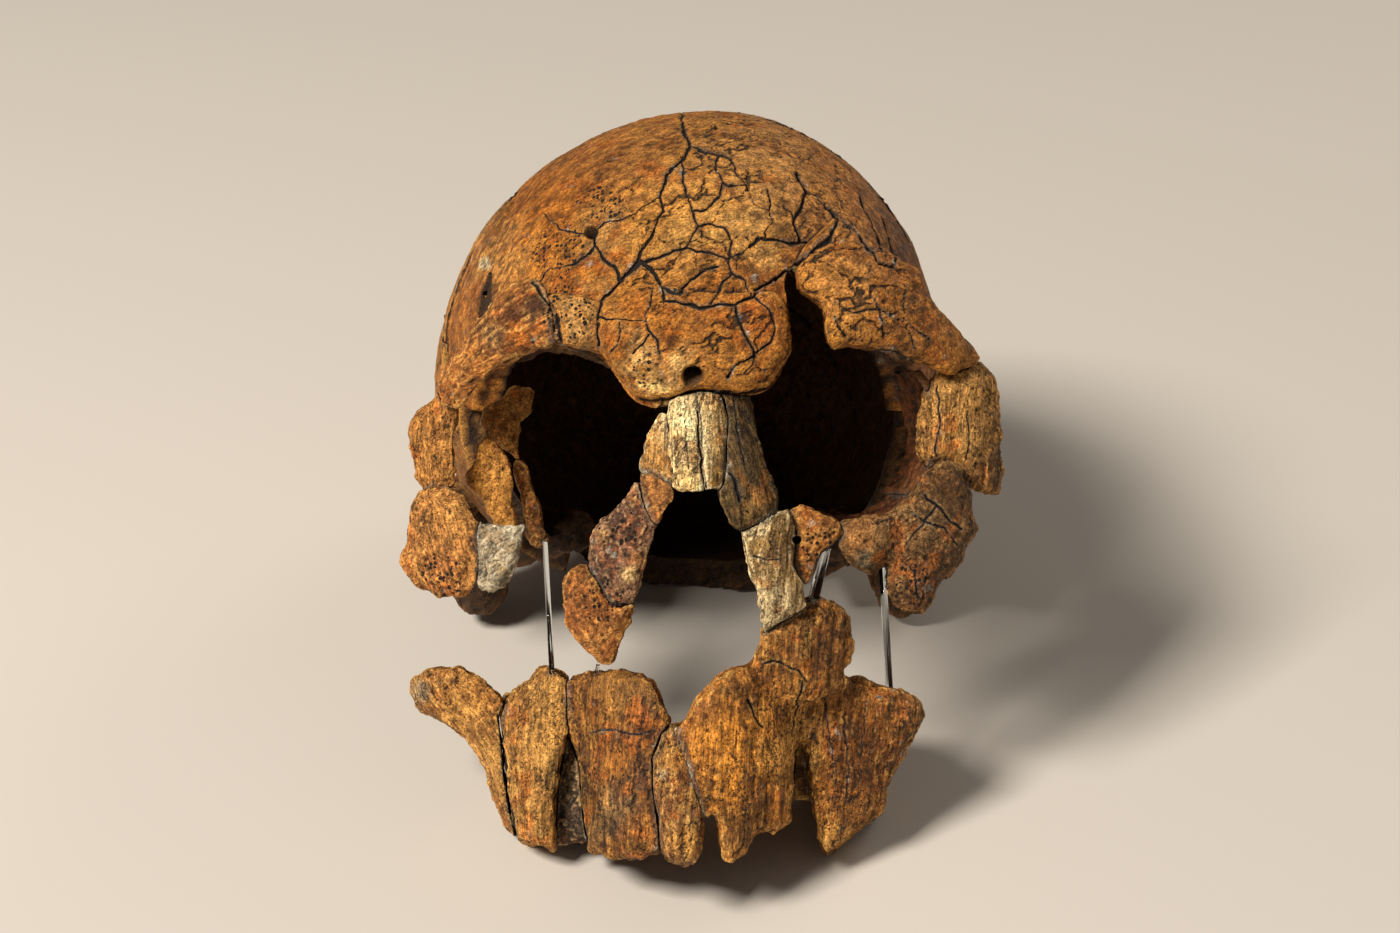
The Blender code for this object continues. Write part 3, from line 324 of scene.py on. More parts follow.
class Grain(Enum):
    """Which way a fragment's fibres run in the front view, as (right, up)."""

    NONE = (0.0, 0.0)
    UPRIGHT = (0.06, 1.0)
    LEANING_LEFT = (-0.35, 0.95)
    RISING = (1.0, 0.55)
    SWEEPING_DOWN = (0.62, -0.78)


@dataclass(frozen=True)
class Spot:
    """A patch of colour on the bone, placed in the picture."""

    column: float
    row: float
    radius: float
    colour: str
    strength: float = 0.7


@dataclass(frozen=True)
class Crack:
    """A crack along a line in the picture, with its width and depth in millimetres."""

    line: list[float]  # column, row, column, row and so on
    width: float = 0.38
    depth: float = 0.5
    filled: bool = True  # a groove that is worn in, with nothing dark in it, is not


@dataclass(frozen=True)
class Hole:
    """A small round hole, placed in the picture, with its radius and depth in millimetres."""

    column: float
    row: float
    radius: float
    depth: float


@dataclass(frozen=True)
class Bone:
    """How one piece of bone looks."""

    base: str = "#A2682C"
    light: str = "#C89448"
    dark: str = "#553416"
    stain: str = "#A85A1E"
    light_share: float = 0.45
    dark_share: float = 0.3
    stain_share: float = 0.25
    grain: Grain = Grain.NONE
    grain_depth: float = 0.10
    fibre_length: float = 12.0  # how many times longer than wide
    lumps: float = 0.34
    flakes: float = 0.22  # how deep its outer layer has flaked off in places
    pits: float = 0.25
    plates: float = 0.0  # the width of the plates it has cracked into, 0 for none
    filler: float = 0.6  # how much dark filler lies in its cracks and seams


VAULT = Bone(base="#96591C", light="#B87C30", dark="#56340F", stain="#944C14", lumps=0.0, flakes=0.0,
             pits=0.12, plates=8.0, grain=Grain.RISING, grain_depth=0.03, fibre_length=1.8)  # fmt: skip
BACK = replace(VAULT, base="#9C6226", light="#C08C44", plates=15.0)
NASAL = Bone(base="#E0BA76", light="#FAE8B8", dark="#6A4520", stain="#A86C2E", dark_share=0.22, flakes=0.1,
             stain_share=0.2, plates=1.6, grain=Grain.UPRIGHT, grain_depth=0.09, lumps=0.2)  # fmt: skip
JAW = Bone(base="#AC7030", light="#D2A256", dark="#58381C", stain="#AA5C1E", stain_share=0.3,
           grain=Grain.UPRIGHT, grain_depth=0.09, flakes=0.16, pits=0.3)  # fmt: skip
ORANGE = Bone(base="#AA6E30", light="#D4A056", dark="#5A3A1C", stain="#B05E1E", stain_share=0.3, pits=0.45)
PALE = Bone(base="#A6977A", light="#D6CCB2", dark="#4A4034", stain="#8E6C40", stain_share=0.12, pits=0.6,
            grain=Grain.RISING)  # fmt: skip
DARK = Bone(base="#86604A", light="#D2AC78", dark="#34261E", stain="#A05A2A", light_share=0.3,
            dark_share=0.5, stain_share=0.3, pits=0.5)  # fmt: skip
# Painted shade: the orbits' roofs, wall and floor lie in shade and are painted dark.
ORBIT_SHADE = Bone(base="#4E321C", light="#6E4A2A", dark="#2E2014", stain="#5E3418")


CRACKS_OF_THE_FOREHEAD = [
    Crack([682, 112, 682, 127, 690, 145, 684, 157, 666, 176, 660, 197, 663, 210, 657, 217, 650, 237, 641, 247,
           636, 259, 627, 273, 620, 280, 612, 287, 602, 299, 598, 315, 597, 329, 598, 346], 0.5, 0.7),
    Crack([590, 233, 594, 242, 602, 257, 612, 264, 617, 273, 620, 280], 0.5, 0.6),
    Crack([682, 157, 682, 180, 687, 194, 693, 210, 698, 225, 689, 239, 687, 246, 695, 250, 712, 253, 726, 257,
           741, 253, 749, 245, 760, 237], 0.36, 0.45),
    Crack([687, 246, 672, 250, 658, 256, 644, 259, 636, 259], 0.45, 0.6),
    Crack([640, 259, 650, 267, 657, 278, 662, 288, 672, 292, 681, 291, 690, 280, 706, 270, 719, 266], 0.45,
           0.6),
    Crack([652, 288, 650, 304, 646, 315, 648, 329, 657, 341, 660, 353]),
    Crack([598, 318, 616, 320, 639, 320, 646, 320]), Crack([620, 322, 620, 334, 617, 346, 611, 351]),
    Crack([648, 334, 643, 344, 632, 352]),
    Crack([662, 288, 664, 300, 693, 305, 700, 307, 717, 304, 734, 304, 742, 300, 752, 295, 760, 288, 777,
           276], 0.5, 0.7),
    Crack([735, 306, 740, 320, 745, 336, 752, 348, 756, 356, 747, 360, 735, 368, 728, 379], 0.5, 0.7),
    Crack([710, 302, 717, 294, 723, 284, 731, 273, 745, 280, 749, 289, 752, 295]),
    Crack([731, 273, 728, 259]),
    Crack([797, 174, 806, 188, 820, 200, 832, 211, 838, 218, 832, 229, 826, 240, 814, 247, 803, 256, 794, 267,
           777, 278], 0.75, 1.1),
    Crack([838, 218, 847, 224, 855, 229, 863, 240, 875, 252, 878, 264, 895, 267], 0.5, 0.7),
    Crack([806, 188, 804, 198, 801, 212, 794, 221, 798, 234, 801, 240, 807, 241], 0.5, 0.7),
    Crack([768, 189, 770, 200, 770, 211, 772, 221, 766, 232, 767, 238]),
    Crack([784, 207, 792, 214, 794, 221]), Crack([749, 172, 748, 191, 757, 205, 770, 211]),
    Crack([749, 246, 761, 238, 774, 239, 791, 243, 801, 240], 0.5, 0.6),
    Crack([755, 295, 765, 305, 775, 319, 777, 327, 771, 341, 755, 354]),
    Crack([731, 159, 739, 176, 749, 184, 749, 192]), Crack([690, 145, 702, 150, 718, 152, 731, 159]),
    Crack([718, 152, 716, 168, 722, 182, 719, 197, 708, 208, 693, 210]),
    Crack([722, 182, 736, 186, 749, 184]), Crack([698, 225, 712, 222, 724, 228, 733, 240, 728, 259]),
    Crack([860, 196, 871, 222, 884, 252]), Crack([883, 215, 891, 240, 896, 262]),
    Crack([515, 192, 511, 204, 499, 226, 490, 245, 482, 270], 1.2, 0.5, False),
    Crack([545, 215, 560, 228, 575, 232, 590, 231, 604, 222, 622, 216, 640, 207, 660, 197], 0.3, 0.3),
    Crack([596, 241, 585, 255, 570, 264, 548, 268, 540, 284], 0.34, 0.35),
    Crack([627, 273, 640, 259], 0.45, 0.5), Crack([560, 345, 556, 320, 545, 297, 531, 284], 0.7, 0.8),
]  # fmt: skip

CRACKS_OF_THE_MAXILLA = [
    Crack([764, 662, 775, 661, 784, 665, 797, 671, 808, 681], 0.26, 0.5),
    Crack([748, 700, 755, 716, 763, 726], 0.4, 0.6),
    Crack([803, 681, 797, 700, 796, 722, 793, 735], 0.3, 0.35),
    Crack([826, 700, 829, 740, 836, 780], 0.18, 0.25), Crack([866, 700, 864, 740, 858, 785], 0.16, 0.2),
]  # fmt: skip

CRACKS_OF_THE_NOSE = [
    Crack([697, 412, 700, 440, 702, 465, 705, 488], 0.5, 0.6),
    Crack([684, 396, 685, 430, 689, 470], 0.2, 0.25), Crack([734, 396, 738, 430, 745, 466], 0.3, 0.35),
    Crack([730, 474, 736, 482, 741, 500], 0.5, 0.5), Crack([755, 556, 768, 560, 781, 558], 0.25, 0.3),
]  # fmt: skip

CRACKS_OF_THE_CHEEKS = [
    Crack([925, 495, 938, 505, 950, 520, 962, 530], 0.35, 0.5),
    Crack([912, 512, 925, 522, 944, 528, 960, 545], 0.3, 0.4),
    Crack([902, 560, 915, 572, 918, 596], 0.3, 0.4), Crack([938, 505, 925, 522, 905, 545], 0.3, 0.4),
    Crack([968, 400, 970, 430, 966, 462], 0.25, 0.35), Crack([937, 386, 940, 420, 936, 455], 0.3, 0.35),
    Crack([832, 302, 855, 312, 880, 310, 905, 322, 930, 340], 0.3, 0.4),
    Crack([832, 315, 838, 327, 846, 338], 0.5, 0.6),
    Crack([870, 262, 868, 285, 880, 310, 884, 338], 0.3, 0.35),
    Crack([905, 285, 905, 322, 915, 348], 0.25, 0.3),
]  # fmt: skip

CRACKS_OF_THE_JAW = [
    Crack([590, 733, 612, 730, 636, 734, 655, 730], 0.3, 0.25),
    Crack([498, 715, 503, 750, 507, 790, 516, 835], 0.4, 0.4),
    Crack([842, 715, 846, 740, 849, 770, 846, 800], 0.2, 0.3),
]  # fmt: skip

CRACKS = (
    CRACKS_OF_THE_FOREHEAD
    + CRACKS_OF_THE_MAXILLA
    + CRACKS_OF_THE_NOSE
    + CRACKS_OF_THE_CHEEKS
    + CRACKS_OF_THE_JAW
)

HOLES = [
    Hole(693, 376, 1.9, 4.5),
    Hole(590.5, 231, 1.2, 3.0),
    Hole(797, 540, 0.7, 1.8),
    Hole(716, 127, 0.4, 0.8),
]
# The slot in the temple is a row of holes that run together: column, row and radius at six places
SLOT = np.array([(490.5, 274, 0.3), (488.5, 285, 0.65), (487, 295, 1.1), (486.5, 302, 1.2),
                 (483, 310, 0.75), (479.5, 317, 0.25)])  # fmt: skip
SLOT_HOLES, SLOT_DEPTH = 20, 0.85
HOLES += [
    Hole(*(float(np.interp(place, range(len(SLOT)), values)) for values in SLOT.T), SLOT_DEPTH)
    for place in np.linspace(0, len(SLOT) - 1, SLOT_HOLES)
]

# Where the bone is full of open pores: column, row, and radius in pixels
POROUS = [(574, 318, 38), (600, 205, 30), (560, 250, 34), (650, 372, 20), (445, 578, 30), (620, 530, 24),
          (600, 600, 30), (905, 580, 30), (820, 545, 24)]  # fmt: skip

SPOTS = [Spot(*row) for row in (
    (690, 205, 95, "#C6954C", 0.8), (755, 240, 60, "#C4924E", 0.65), (700, 128, 50, "#94622C", 0.6),
    (620, 140, 70, "#95602A"), (590, 190, 60, "#8F5A24", 0.6), (545, 225, 55, "#A05E16"),
    (492, 255, 40, "#C08A46"), (485, 264, 6, "#BDB694", 0.75), (462, 320, 34, "#A86A2C", 0.6),
    (600, 235, 26, "#9A7A4A", 0.6), (575, 318, 36, "#C0955A", 0.8), (770, 160, 54, "#BC884C", 0.75),
    (860, 205, 56, "#BE8244", 0.8), (900, 250, 40, "#7E4C26", 0.6), (650, 290, 26, "#7E4E1A"),
    (705, 300, 40, "#A06226"), (752, 318, 26, "#A8561A", 0.85), (640, 306, 18, "#964C14", 0.8),
    # (656, 377) is a painted pool of light on the lower glabella, which faces down.
    (722, 286, 20, "#BA6E22"), (656, 377, 34, "#FFCE80", 1.0), (722, 372, 30, "#B87C38"),
    (845, 300, 46, "#D2924A", 0.85), (925, 340, 40, "#8A5C30", 0.6), (515, 330, 40, "#522A10", 0.85),
    (532, 302, 18, "#3C241A", 0.85), (520, 337, 13, "#C46E22", 0.8), (490, 336, 12, "#5A4630"),
    # (466, 436) is painted shade on the temporal's front edge behind the orbit; (606, 826) is painted shade in
    # a recess at the foot of the right jaw.
    (534, 340, 3.5, "#D8D0C0", 0.8), (466, 436, 13, "#1E140E", 0.95), (606, 826, 17, "#30261E", 0.85),
    (965, 420, 40, "#A87A40", 0.6), (990, 470, 24, "#6A4C2C", 0.6), (432, 440, 34, "#96622C"),
    (440, 525, 30, "#BE8442"), (440, 575, 26, "#A86634", 0.6), (925, 520, 40, "#6A4E2E", 0.75),
    (862, 535, 16, "#A8703A", 0.8), (866, 560, 9, "#56584A", 0.8), (925, 585, 26, "#553A24"),
    # (745, 445) is a painted shadow cast by the nasal bones.
    (693, 435, 30, "#FAD896", 0.8), (745, 445, 30, "#44321C", 0.9), (755, 505, 20, "#A88048", 0.6),
    (775, 580, 34, "#AE8E5A"), (622, 520, 22, "#4E342C", 0.8), (603, 538, 9, "#D8AC6C", 0.85),
    (630, 572, 10, "#D2B072", 0.85), (636, 498, 9, "#A87038", 0.8), (640, 560, 14, "#B88C50"),
    (597, 610, 26, "#9C5E2C"), (812, 640, 34, "#6A421E", 0.85), (735, 752, 54, "#E09234", 0.85),
    (705, 712, 14, "#6E4426"), (772, 800, 22, "#A0601E"), (860, 750, 54, "#683A14", 0.9),
    (905, 712, 16, "#7A5636"), (893, 700, 8, "#2E2218"), (530, 750, 40, "#AC7A3E"),
    (530, 830, 24, "#96602C"), (470, 700, 34, "#A06A2C"), (421, 692, 9, "#A89A7C"),
    (642, 708, 26, "#452E22", 0.8), (600, 715, 20, "#A06C2C"), (612, 760, 18, "#B0702C"),
    # (592, 835) is painted shade in a recess at the foot of the right jaw.
    (642, 775, 16, "#4A3024"), (622, 800, 20, "#8E7048", 0.6), (592, 835, 14, "#40322A", 0.8),
    (640, 830, 16, "#A46A30"), (662, 775, 5, "#BCB09A", 0.6), (683, 845, 14, "#BE8236"),
    # (572, 780) is dark matrix in the socket between two jaw fragments, deepened as painted shade in that
    # recess.
    (572, 780, 24, "#2A231A", 0.9),
)]  # fmt: skip


@dataclass(frozen=True)
class Piece:
    """One visual piece: the nodes that it stands for, how it looks, and how finely it is meshed."""

    nodes: tuple[str, ...]
    bone: Bone
    slot: str
    voxel: float = 0.3
    seed: int = 1


FOREHEAD = Piece(("frontal", "frontal_glabella", "brow_right_inner", "brow_left"), VAULT, "vault", 1.07, 1)

PIECES = [
    Piece(("parietal_right",), BACK, "vault", 0.8, 2),
    Piece(("parietal_left",), BACK, "vault", 0.8, 3),
    Piece(("temporal_right",), BACK, "vault", 0.75, 4),
    Piece(("temporal_left",), BACK, "vault", 0.75, 5),
    Piece(("occipital",), BACK, "vault", 0.8, 6),
    Piece(("brow_right",), replace(ORANGE, base="#9C6028", dark_share=0.4, grain=Grain.RISING), "face", seed=8),
    Piece(("orbit_side_right",), replace(ORANGE, grain=Grain.UPRIGHT, light="#C08C48", plates=1.8),
          "face", seed=9),
    Piece(("orbit_side_left",), replace(ORANGE, base="#A4743A", grain=Grain.UPRIGHT, plates=2.4),
          "face", seed=10),
    Piece(("cheek_right",), replace(ORANGE, base="#B87C40", grain=Grain.LEANING_LEFT, pits=0.25, plates=1.6),
          "face", seed=11),
    Piece(("cheek_right_inner",), PALE, "pale", seed=12),
    Piece(("cheek_left", "infraorbital_left_knob"),
          replace(ORANGE, base="#644424", light="#AE8450", dark_share=0.45, plates=3.6), "face", seed=13),
    Piece(("infraorbital_left",), replace(ORANGE, base="#9C642E"), "face", seed=14),
    Piece(("sphenoid_right_upper",), replace(ORANGE, base="#A06428"), "face", seed=16),
    Piece(("sphenoid_right_plate",), replace(ORANGE, base="#DC9440", dark_share=0.2), "face", seed=17),
    Piece(("sphenoid_right_strip",), replace(ORANGE, base="#9A6230"), "face", seed=18),
    Piece(("nasal_right",), NASAL, "nasal", 0.27, 19),
    Piece(("nasal_left",), replace(NASAL, base="#AE8444"), "nasal", 0.27, 20),
    # Painted shadow: the upper frontal process is painted dark where the nasal bones shade it.
    Piece(("frontal_process_left_upper",),
          replace(NASAL, base="#42321C", light="#84693C", grain=Grain.LEANING_LEFT), "nasal", seed=21),
    Piece(("frontal_process_left_lower",), replace(NASAL, base="#9A7844"), "nasal", seed=22),
    Piece(("nasal_margin_right_tip",), replace(NASAL, base="#B88848"), "nasal", seed=23),
    Piece(("nasal_margin_right_upper",), replace(ORANGE, base="#A06A38"), "nasal", seed=24),
    Piece(("nasal_margin_right",), DARK, "nasal", seed=25),
    Piece(("nasal_margin_right_drop",), replace(ORANGE, base="#9A5C2A", dark_share=0.4), "nasal", seed=26),
    Piece(("jaw_left_front", "maxilla_left_column", "jaw_left_cheek_root"), replace(JAW, plates=2.0),
          "jaw", 0.33, 28),
    Piece(("jaw_middle",), replace(JAW, base="#7E5430", dark_share=0.45, plates=2.0), "jaw", seed=30),
    Piece(("jaw_right_front",),
          replace(JAW, base="#70461E", light="#B8843E", dark="#3C2A20", dark_share=0.45, plates=2.2),
          "jaw", seed=31),
    Piece(("jaw_right_side",), replace(JAW, base="#A47238", plates=1.8), "jaw", seed=32),
    Piece(("jaw_right_cheek_root",), replace(JAW, base="#A4703A", grain=Grain.SWEEPING_DOWN, plates=1.8),
          "jaw", seed=33),
    Piece(("jaw_right_socket",), replace(DARK, base="#4A3C30"), "jaw", seed=34),
    Piece(("jaw_right_back",), replace(JAW, base="#7E5630"), "jaw", 0.45, 35),
    Piece(("jaw_left_back",), replace(JAW, base="#7E5630"), "jaw", 0.45, 36),
    Piece(("palate",), replace(JAW, base="#7A5330", grain=Grain.NONE), "jaw", 0.5, 37),
    Piece(("orbit_roof_right",), ORBIT_SHADE, "face", 0.45, 38),
    Piece(("orbit_roof_left",), ORBIT_SHADE, "face", 0.45, 39),
    Piece(("orbit_wall_left",), replace(ORBIT_SHADE, base="#7A4522"), "face", 0.45, 40),
    Piece(("orbit_floor_left",), replace(ORBIT_SHADE, base="#6E3A20"), "face", 0.45, 41),
]  # fmt: skip


class Sculpture:
    """One piece of bone as arrays: its points in the face frame, and what is painted on them."""

    FUSE = 0.26  # how far fused pieces are swollen to close the seam between them

    def __init__(self, piece: Piece, nodes: dict[str, bpy.types.Object]) -> None:
        """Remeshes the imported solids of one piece.

        Args:
            piece: What to build.
            nodes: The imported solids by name.
        """
        self.piece = piece
        self.bone = piece.bone
        self.lattice = Lattice(piece.seed)
        bm = bmesh.new()
        for name in piece.nodes:
            bm.from_mesh(nodes[name].data)
        bmesh.ops.remove_doubles(bm, verts=bm.verts, dist=WELD)
        bmesh.ops.triangulate(bm, faces=bm.faces)
        bm.normal_update()
        if len(piece.nodes) > 1:
            for vert in bm.verts:
                vert.co += vert.normal * (self.FUSE / METRE)
        rough = bpy.data.meshes.new("rough")
        bm.to_mesh(rough)
        bm.free()
        self.obj = place_object(piece.nodes[0] + "_bone", rough)
        self._voxels(piece.voxel * (1.0))
        self.read()

    def _voxels(self, size: float) -> None:
        step = self.obj.modifiers.new("voxels", "REMESH")
        step.mode = "VOXEL"
        step.voxel_size = size / METRE
        step.adaptivity = 0.0
        bpy.context.view_layer.update()
        graph = bpy.context.evaluated_depsgraph_get()
        mesh = bpy.data.meshes.new_from_object(self.obj.evaluated_get(graph))
        self.obj.modifiers.clear()
        self.obj.data = mesh

    def read(self) -> None:
        """Takes the points and edges out of the mesh."""
        mesh = self.obj.data
        metres = np.empty(len(mesh.vertices) * 3)
        mesh.vertices.foreach_get("co", metres)
        self.points = FACE.to_face(metres.reshape(-1, 3))
        edges = np.empty(len(mesh.edges) * 2, np.int64)
        mesh.edges.foreach_get("vertices", edges)
        self.edges = edges.reshape(-1, 2)
        self.count = np.bincount(self.edges.ravel(), minlength=len(self.points))
        self.paint = np.zeros((len(self.points), 3))
        self.gloss = np.zeros(len(self.points))
        self.cracks = np.full((len(self.points), 3), FAR)
        self.open_pores = np.zeros(len(self.points))

    def write(self) -> None:
        """Puts the points back into the mesh, none of them below the floor."""
        mesh = self.obj.data
        metres = FACE.to_part(self.points)
        metres[:, 2] = np.maximum(metres[:, 2], 0.0)
        mesh.vertices.foreach_set("co", metres.ravel())
        mesh.update()

    def normals(self) -> np.ndarray:
        """Gives the way the surface faces at each point.

        Returns:
            Unit vectors in the face frame.
        """
        self.write()
        found = np.empty(len(self.points) * 3, np.float32)
        self.obj.data.vertex_normals.foreach_get("vector", found)
        return found.reshape(-1, 3).astype(float) @ FACE.turn

    def around(self, values: np.ndarray) -> np.ndarray:
        """Averages a value over each point's neighbours.

        Args:
            values: One row or number a point.

        Returns:
            The averages, in the same shape.
        """
        columns = values.reshape(len(values), -1)
        a, b = self.edges.T
        sums = [
            np.bincount(a, columns[b, i], len(columns)) + np.bincount(b, columns[a, i], len(columns))
            for i in range(columns.shape[1])
        ]
        return (np.stack(sums, axis=1) / np.maximum(self.count, 1)[:, None]).reshape(values.shape)

    def relax(self, rounds: int, hold: float = 0.53) -> None:
        """Smooths away the facets and keeps the size.

        Args:
            rounds: How many times.
            hold: How hard each round pushes back out. 0 lets the piece shrink.
        """
        for _ in range(rounds):
            self.points += 0.5 * (self.around(self.points) - self.points)
            if hold:
                self.points -= hold * (self.around(self.points) - self.points)

    def blend(self, nodes: dict[str, bpy.types.Object], reach: float, rounds: int) -> None:
        """Smooths the seams between fused solids away.

        Args:
            nodes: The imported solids.
            reach: How far from a seam the smoothing goes, in millimetres.
            rounds: How many times.
        """
        trees = [surfaces_of(nodes, [name]) for name in self.piece.nodes]
        away = np.array([[tree.find_nearest(point, FAR)[3] or FAR for tree in trees] for point in self.points])
        second = np.sort(away, axis=1)[:, 1]
        share = (0.6 * (1.0 - ramp(second, 0.35 * reach, reach)))[:, None]
        for _ in range(rounds):
            self.points += share * (self.around(self.points) - self.points)

    def push(self, amount: np.ndarray) -> None:
        """Moves each point along its normal.

        Args:
            amount: Millimetres outward, one a point.
        """
        self.points += self.normals() * amount[:, None]

    def refine(self, chosen: np.ndarray) -> None:
        """Halves the mesh's edges in one region.

        Args:
            chosen: True for each point of the region.
        """
        self.write()
        bm = bmesh.new()
        bm.from_mesh(self.obj.data)
        edges = [edge for edge in bm.edges if chosen[edge.verts[0].index] and chosen[edge.verts[1].index]]
        bmesh.ops.subdivide_edges(bm, edges=edges, cuts=1, use_grid_fill=True)
        bm.to_mesh(self.obj.data)
        bm.free()
        self.read()

    def along_fibres(self) -> np.ndarray:
        """Squeezes space along the fibres, so that noise read there comes out as fibres.

        Returns:
            The squeezed points.
        """
        right, high = self.bone.grain.value
        way = np.array([right, 0.0, high])
        length = np.linalg.norm(way)
        if length == 0:
            return self.points
        way /= length
        warped = self.points + 0.9 * self.lattice.noise(self.points, 9.0)[:, None]
        return warped - (1.0 - 1.0 / self.bone.fibre_length) * (warped @ way)[:, None] * way

    def seam_distance(self, others: BVHTree) -> np.ndarray:
        """Measures how near each point is to another bone.

        Args:
            others: The other bones' surfaces, in millimetres in the face frame.

        Returns:
            Millimetres, FAR where nothing is near.
        """
        found = np.full(len(self.points), FAR)
        for i, point in enumerate(self.points):
            away = others.find_nearest(point, SEAM_REACH)[3]
            if away is not None:
                found[i] = away
        return found

    def wandering_places(self) -> np.ndarray:
        """Gives where the points appear, shifted a little so that a line drawn there wanders as a crack does.

        Returns:
            A column and a row for each point.
        """
        noises = [self.lattice.fractal(self.points + shift, WANDER_SIZE, 3) for shift in (0.0, 50.0)]
        return FACE.to_picture(self.points) + np.stack(noises, axis=1) * WANDER

    def crack_depth(self, facing: np.ndarray, outside: np.ndarray | bool = True) -> np.ndarray:
        """Cuts the cracks and holes seen in the picture, and notes how near each point is to one.

        Args:
            facing: True where the surface faces the viewer.
            outside: True on the outer side of a wall. In front of the brow, holes are cut on both sides.

        Returns:
            Millimetres cut away at each point.
        """
        cut = np.zeros(len(self.points))
        holed = facing & (outside | (self.points[:, 1] < BROW_PLANE))
        facing = facing & outside
        places = self.wandering_places()
        low, high = places[facing].min(axis=0) - MARGIN, places[facing].max(axis=0) + MARGIN
        breadth = 0.55 + 0.35 * self.lattice.noise(self.points, 5.0)
        for crack in CRACKS:
            line = np.reshape(crack.line, (-1, 2))
            if (line.max(axis=0) < low).any() or (line.min(axis=0) > high).any():
                continue
            away = np.where(facing, line_distance(places, crack.line) / (crack.width * breadth), FAR)
            cut = np.maximum(cut, crack.depth * np.clip(1.3 - away, 0.0, 1.0))
            if crack.filled:
                self.cracks[:, 0] = np.minimum(self.cracks[:, 0], away)
        places = FACE.to_picture(self.points)
        for hole in HOLES:
            away = np.linalg.norm(places - (hole.column, hole.row), axis=1) * PIXEL / hole.radius
            away = np.where(holed, away, FAR)
            cut = np.maximum(cut, hole.depth * (1.0 - ramp(away, 0.75, 1.05)))
            # Inside each hole the bone is painted dark, as painted shade.
            self.cracks[:, 1] = np.minimum(self.cracks[:, 1], np.maximum(2.0 * away - 1.5, 0.0))
        return cut

    def porosity(self) -> np.ndarray:
        """Cuts the open pores of the spongy patches.

        Returns:
            Millimetres cut away at each point.
        """
        places = FACE.to_picture(self.points)
        patch = np.zeros(len(places))
        for column, row, radius in POROUS:
            away = np.hypot(places[:, 0] - column, places[:, 1] - row) / radius
            patch = np.maximum(patch, 1.0 - ramp(away + 0.3 * self.lattice.noise(self.points, 4.0), 0.6, 1.1))
        self.open_pores = patch
        middle, _, which = self.lattice.cells(self.points + 40.0, PORE_SPACING)
        return PORE_DEPTH * patch * ramp(which, -0.2, 0.2) * np.exp(-((middle / PORE_RADIUS) ** 2))

    def finish(self) -> bpy.types.Object:
        """Writes the shape and the paint, and hangs the piece on the part.

        Returns:
            The finished object.
        """
        self.write()
        mesh = self.obj.data
        colours = np.concatenate([np.clip(self.paint, 0.0, 1.0), np.clip(self.gloss, 0, 1)[:, None]], axis=1)
        mesh.color_attributes.new("paint", "FLOAT_COLOR", "POINT").data.foreach_set("color", colours.ravel())
        fibres = mesh.attributes.new("fibre", "FLOAT_VECTOR", "POINT")
        fibres.data.foreach_set("vector", self.along_fibres().ravel())
        cracks = mesh.attributes.new("cracks", "FLOAT_VECTOR", "POINT")
        cracks.data.foreach_set("vector", self.cracks.ravel())
        mesh.attributes.new("porous", "FLOAT", "POINT").data.foreach_set("value", self.open_pores)
        mesh.shade_smooth()
        mesh.materials.clear()
        mesh.materials.append(bone_material(self.piece.slot))
        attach(self.obj, "root")
        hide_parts(*self.piece.nodes)
        return self.obj


def vault_gauge(points: np.ndarray, inset: float) -> np.ndarray:
    """Measures where points lie between the middle of the braincase and its surface.

    Args:
        points: Points in the face frame.
        inset: How far inside the outer surface the measured one lies.

    Returns:
        For each point, 1 on the surface and in proportion inside and outside it.
    """
    away = points - np.array(VAULT_MIDDLE)
    lower = np.clip((PINCH_TOP - points[:, 2]) / PINCH_FADE, 0.0, 1.0)
    drawn_in = PINCH * lower * np.exp(-(((points[:, 1] - PINCH_DEPTH) / PINCH_REACH) ** 2))
    halves = np.where(away[:, 0] < 0, VAULT_HALVES[0], VAULT_HALVES[1]) * (1.0 - drawn_in) - inset
    reach = np.where(away[:, 1] > 0, VAULT_REACH[1], VAULT_REACH[0]) - inset
    rise = np.where(away[:, 2] > 0, VAULT_RISE[0], VAULT_RISE[1]) - inset
    fullness = np.where(away[:, 1] < 0, FULLNESS[0], FULLNESS[1])
    ring = np.hypot(away[:, 0] / halves, away[:, 2] / rise)
    return (ring**fullness + np.abs(away[:, 1] / reach) ** fullness) ** (1.0 / fullness)


def round_out(work: Sculpture) -> tuple[np.ndarray, np.ndarray]:
    """Puts the wall of the braincase back on its true curve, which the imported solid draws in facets.

    Args:
        work: The piece of the braincase.

    Returns:
        How much each point belongs to the outer surface, and to the inner one, from 0 to 1.
    """
    shares = []
    for inset in (0.0, VAULT_WALL):
        gauge = vault_gauge(work.points, inset)
        share = 1.0 - ramp(np.abs(gauge - 1.0) * GAUGE, 0.9, 1.7)
        middle = np.array(VAULT_MIDDLE)
        true = middle + (work.points - middle) / gauge[:, None]
        work.points += share[:, None] * (true - work.points)
        shares.append(share)
    return shares[0], shares[1]


def mix(under: np.ndarray, colour: str, share: np.ndarray) -> np.ndarray:
    """Lays one colour over others.

    Args:
        under: The colours so far.
        colour: The new one, as sRGB hex.
        share: How much of it, from 0 to 1, one a point.

    Returns:
        The mixed colours.
    """
    return under + share[:, None] * (linear(colour) - under)


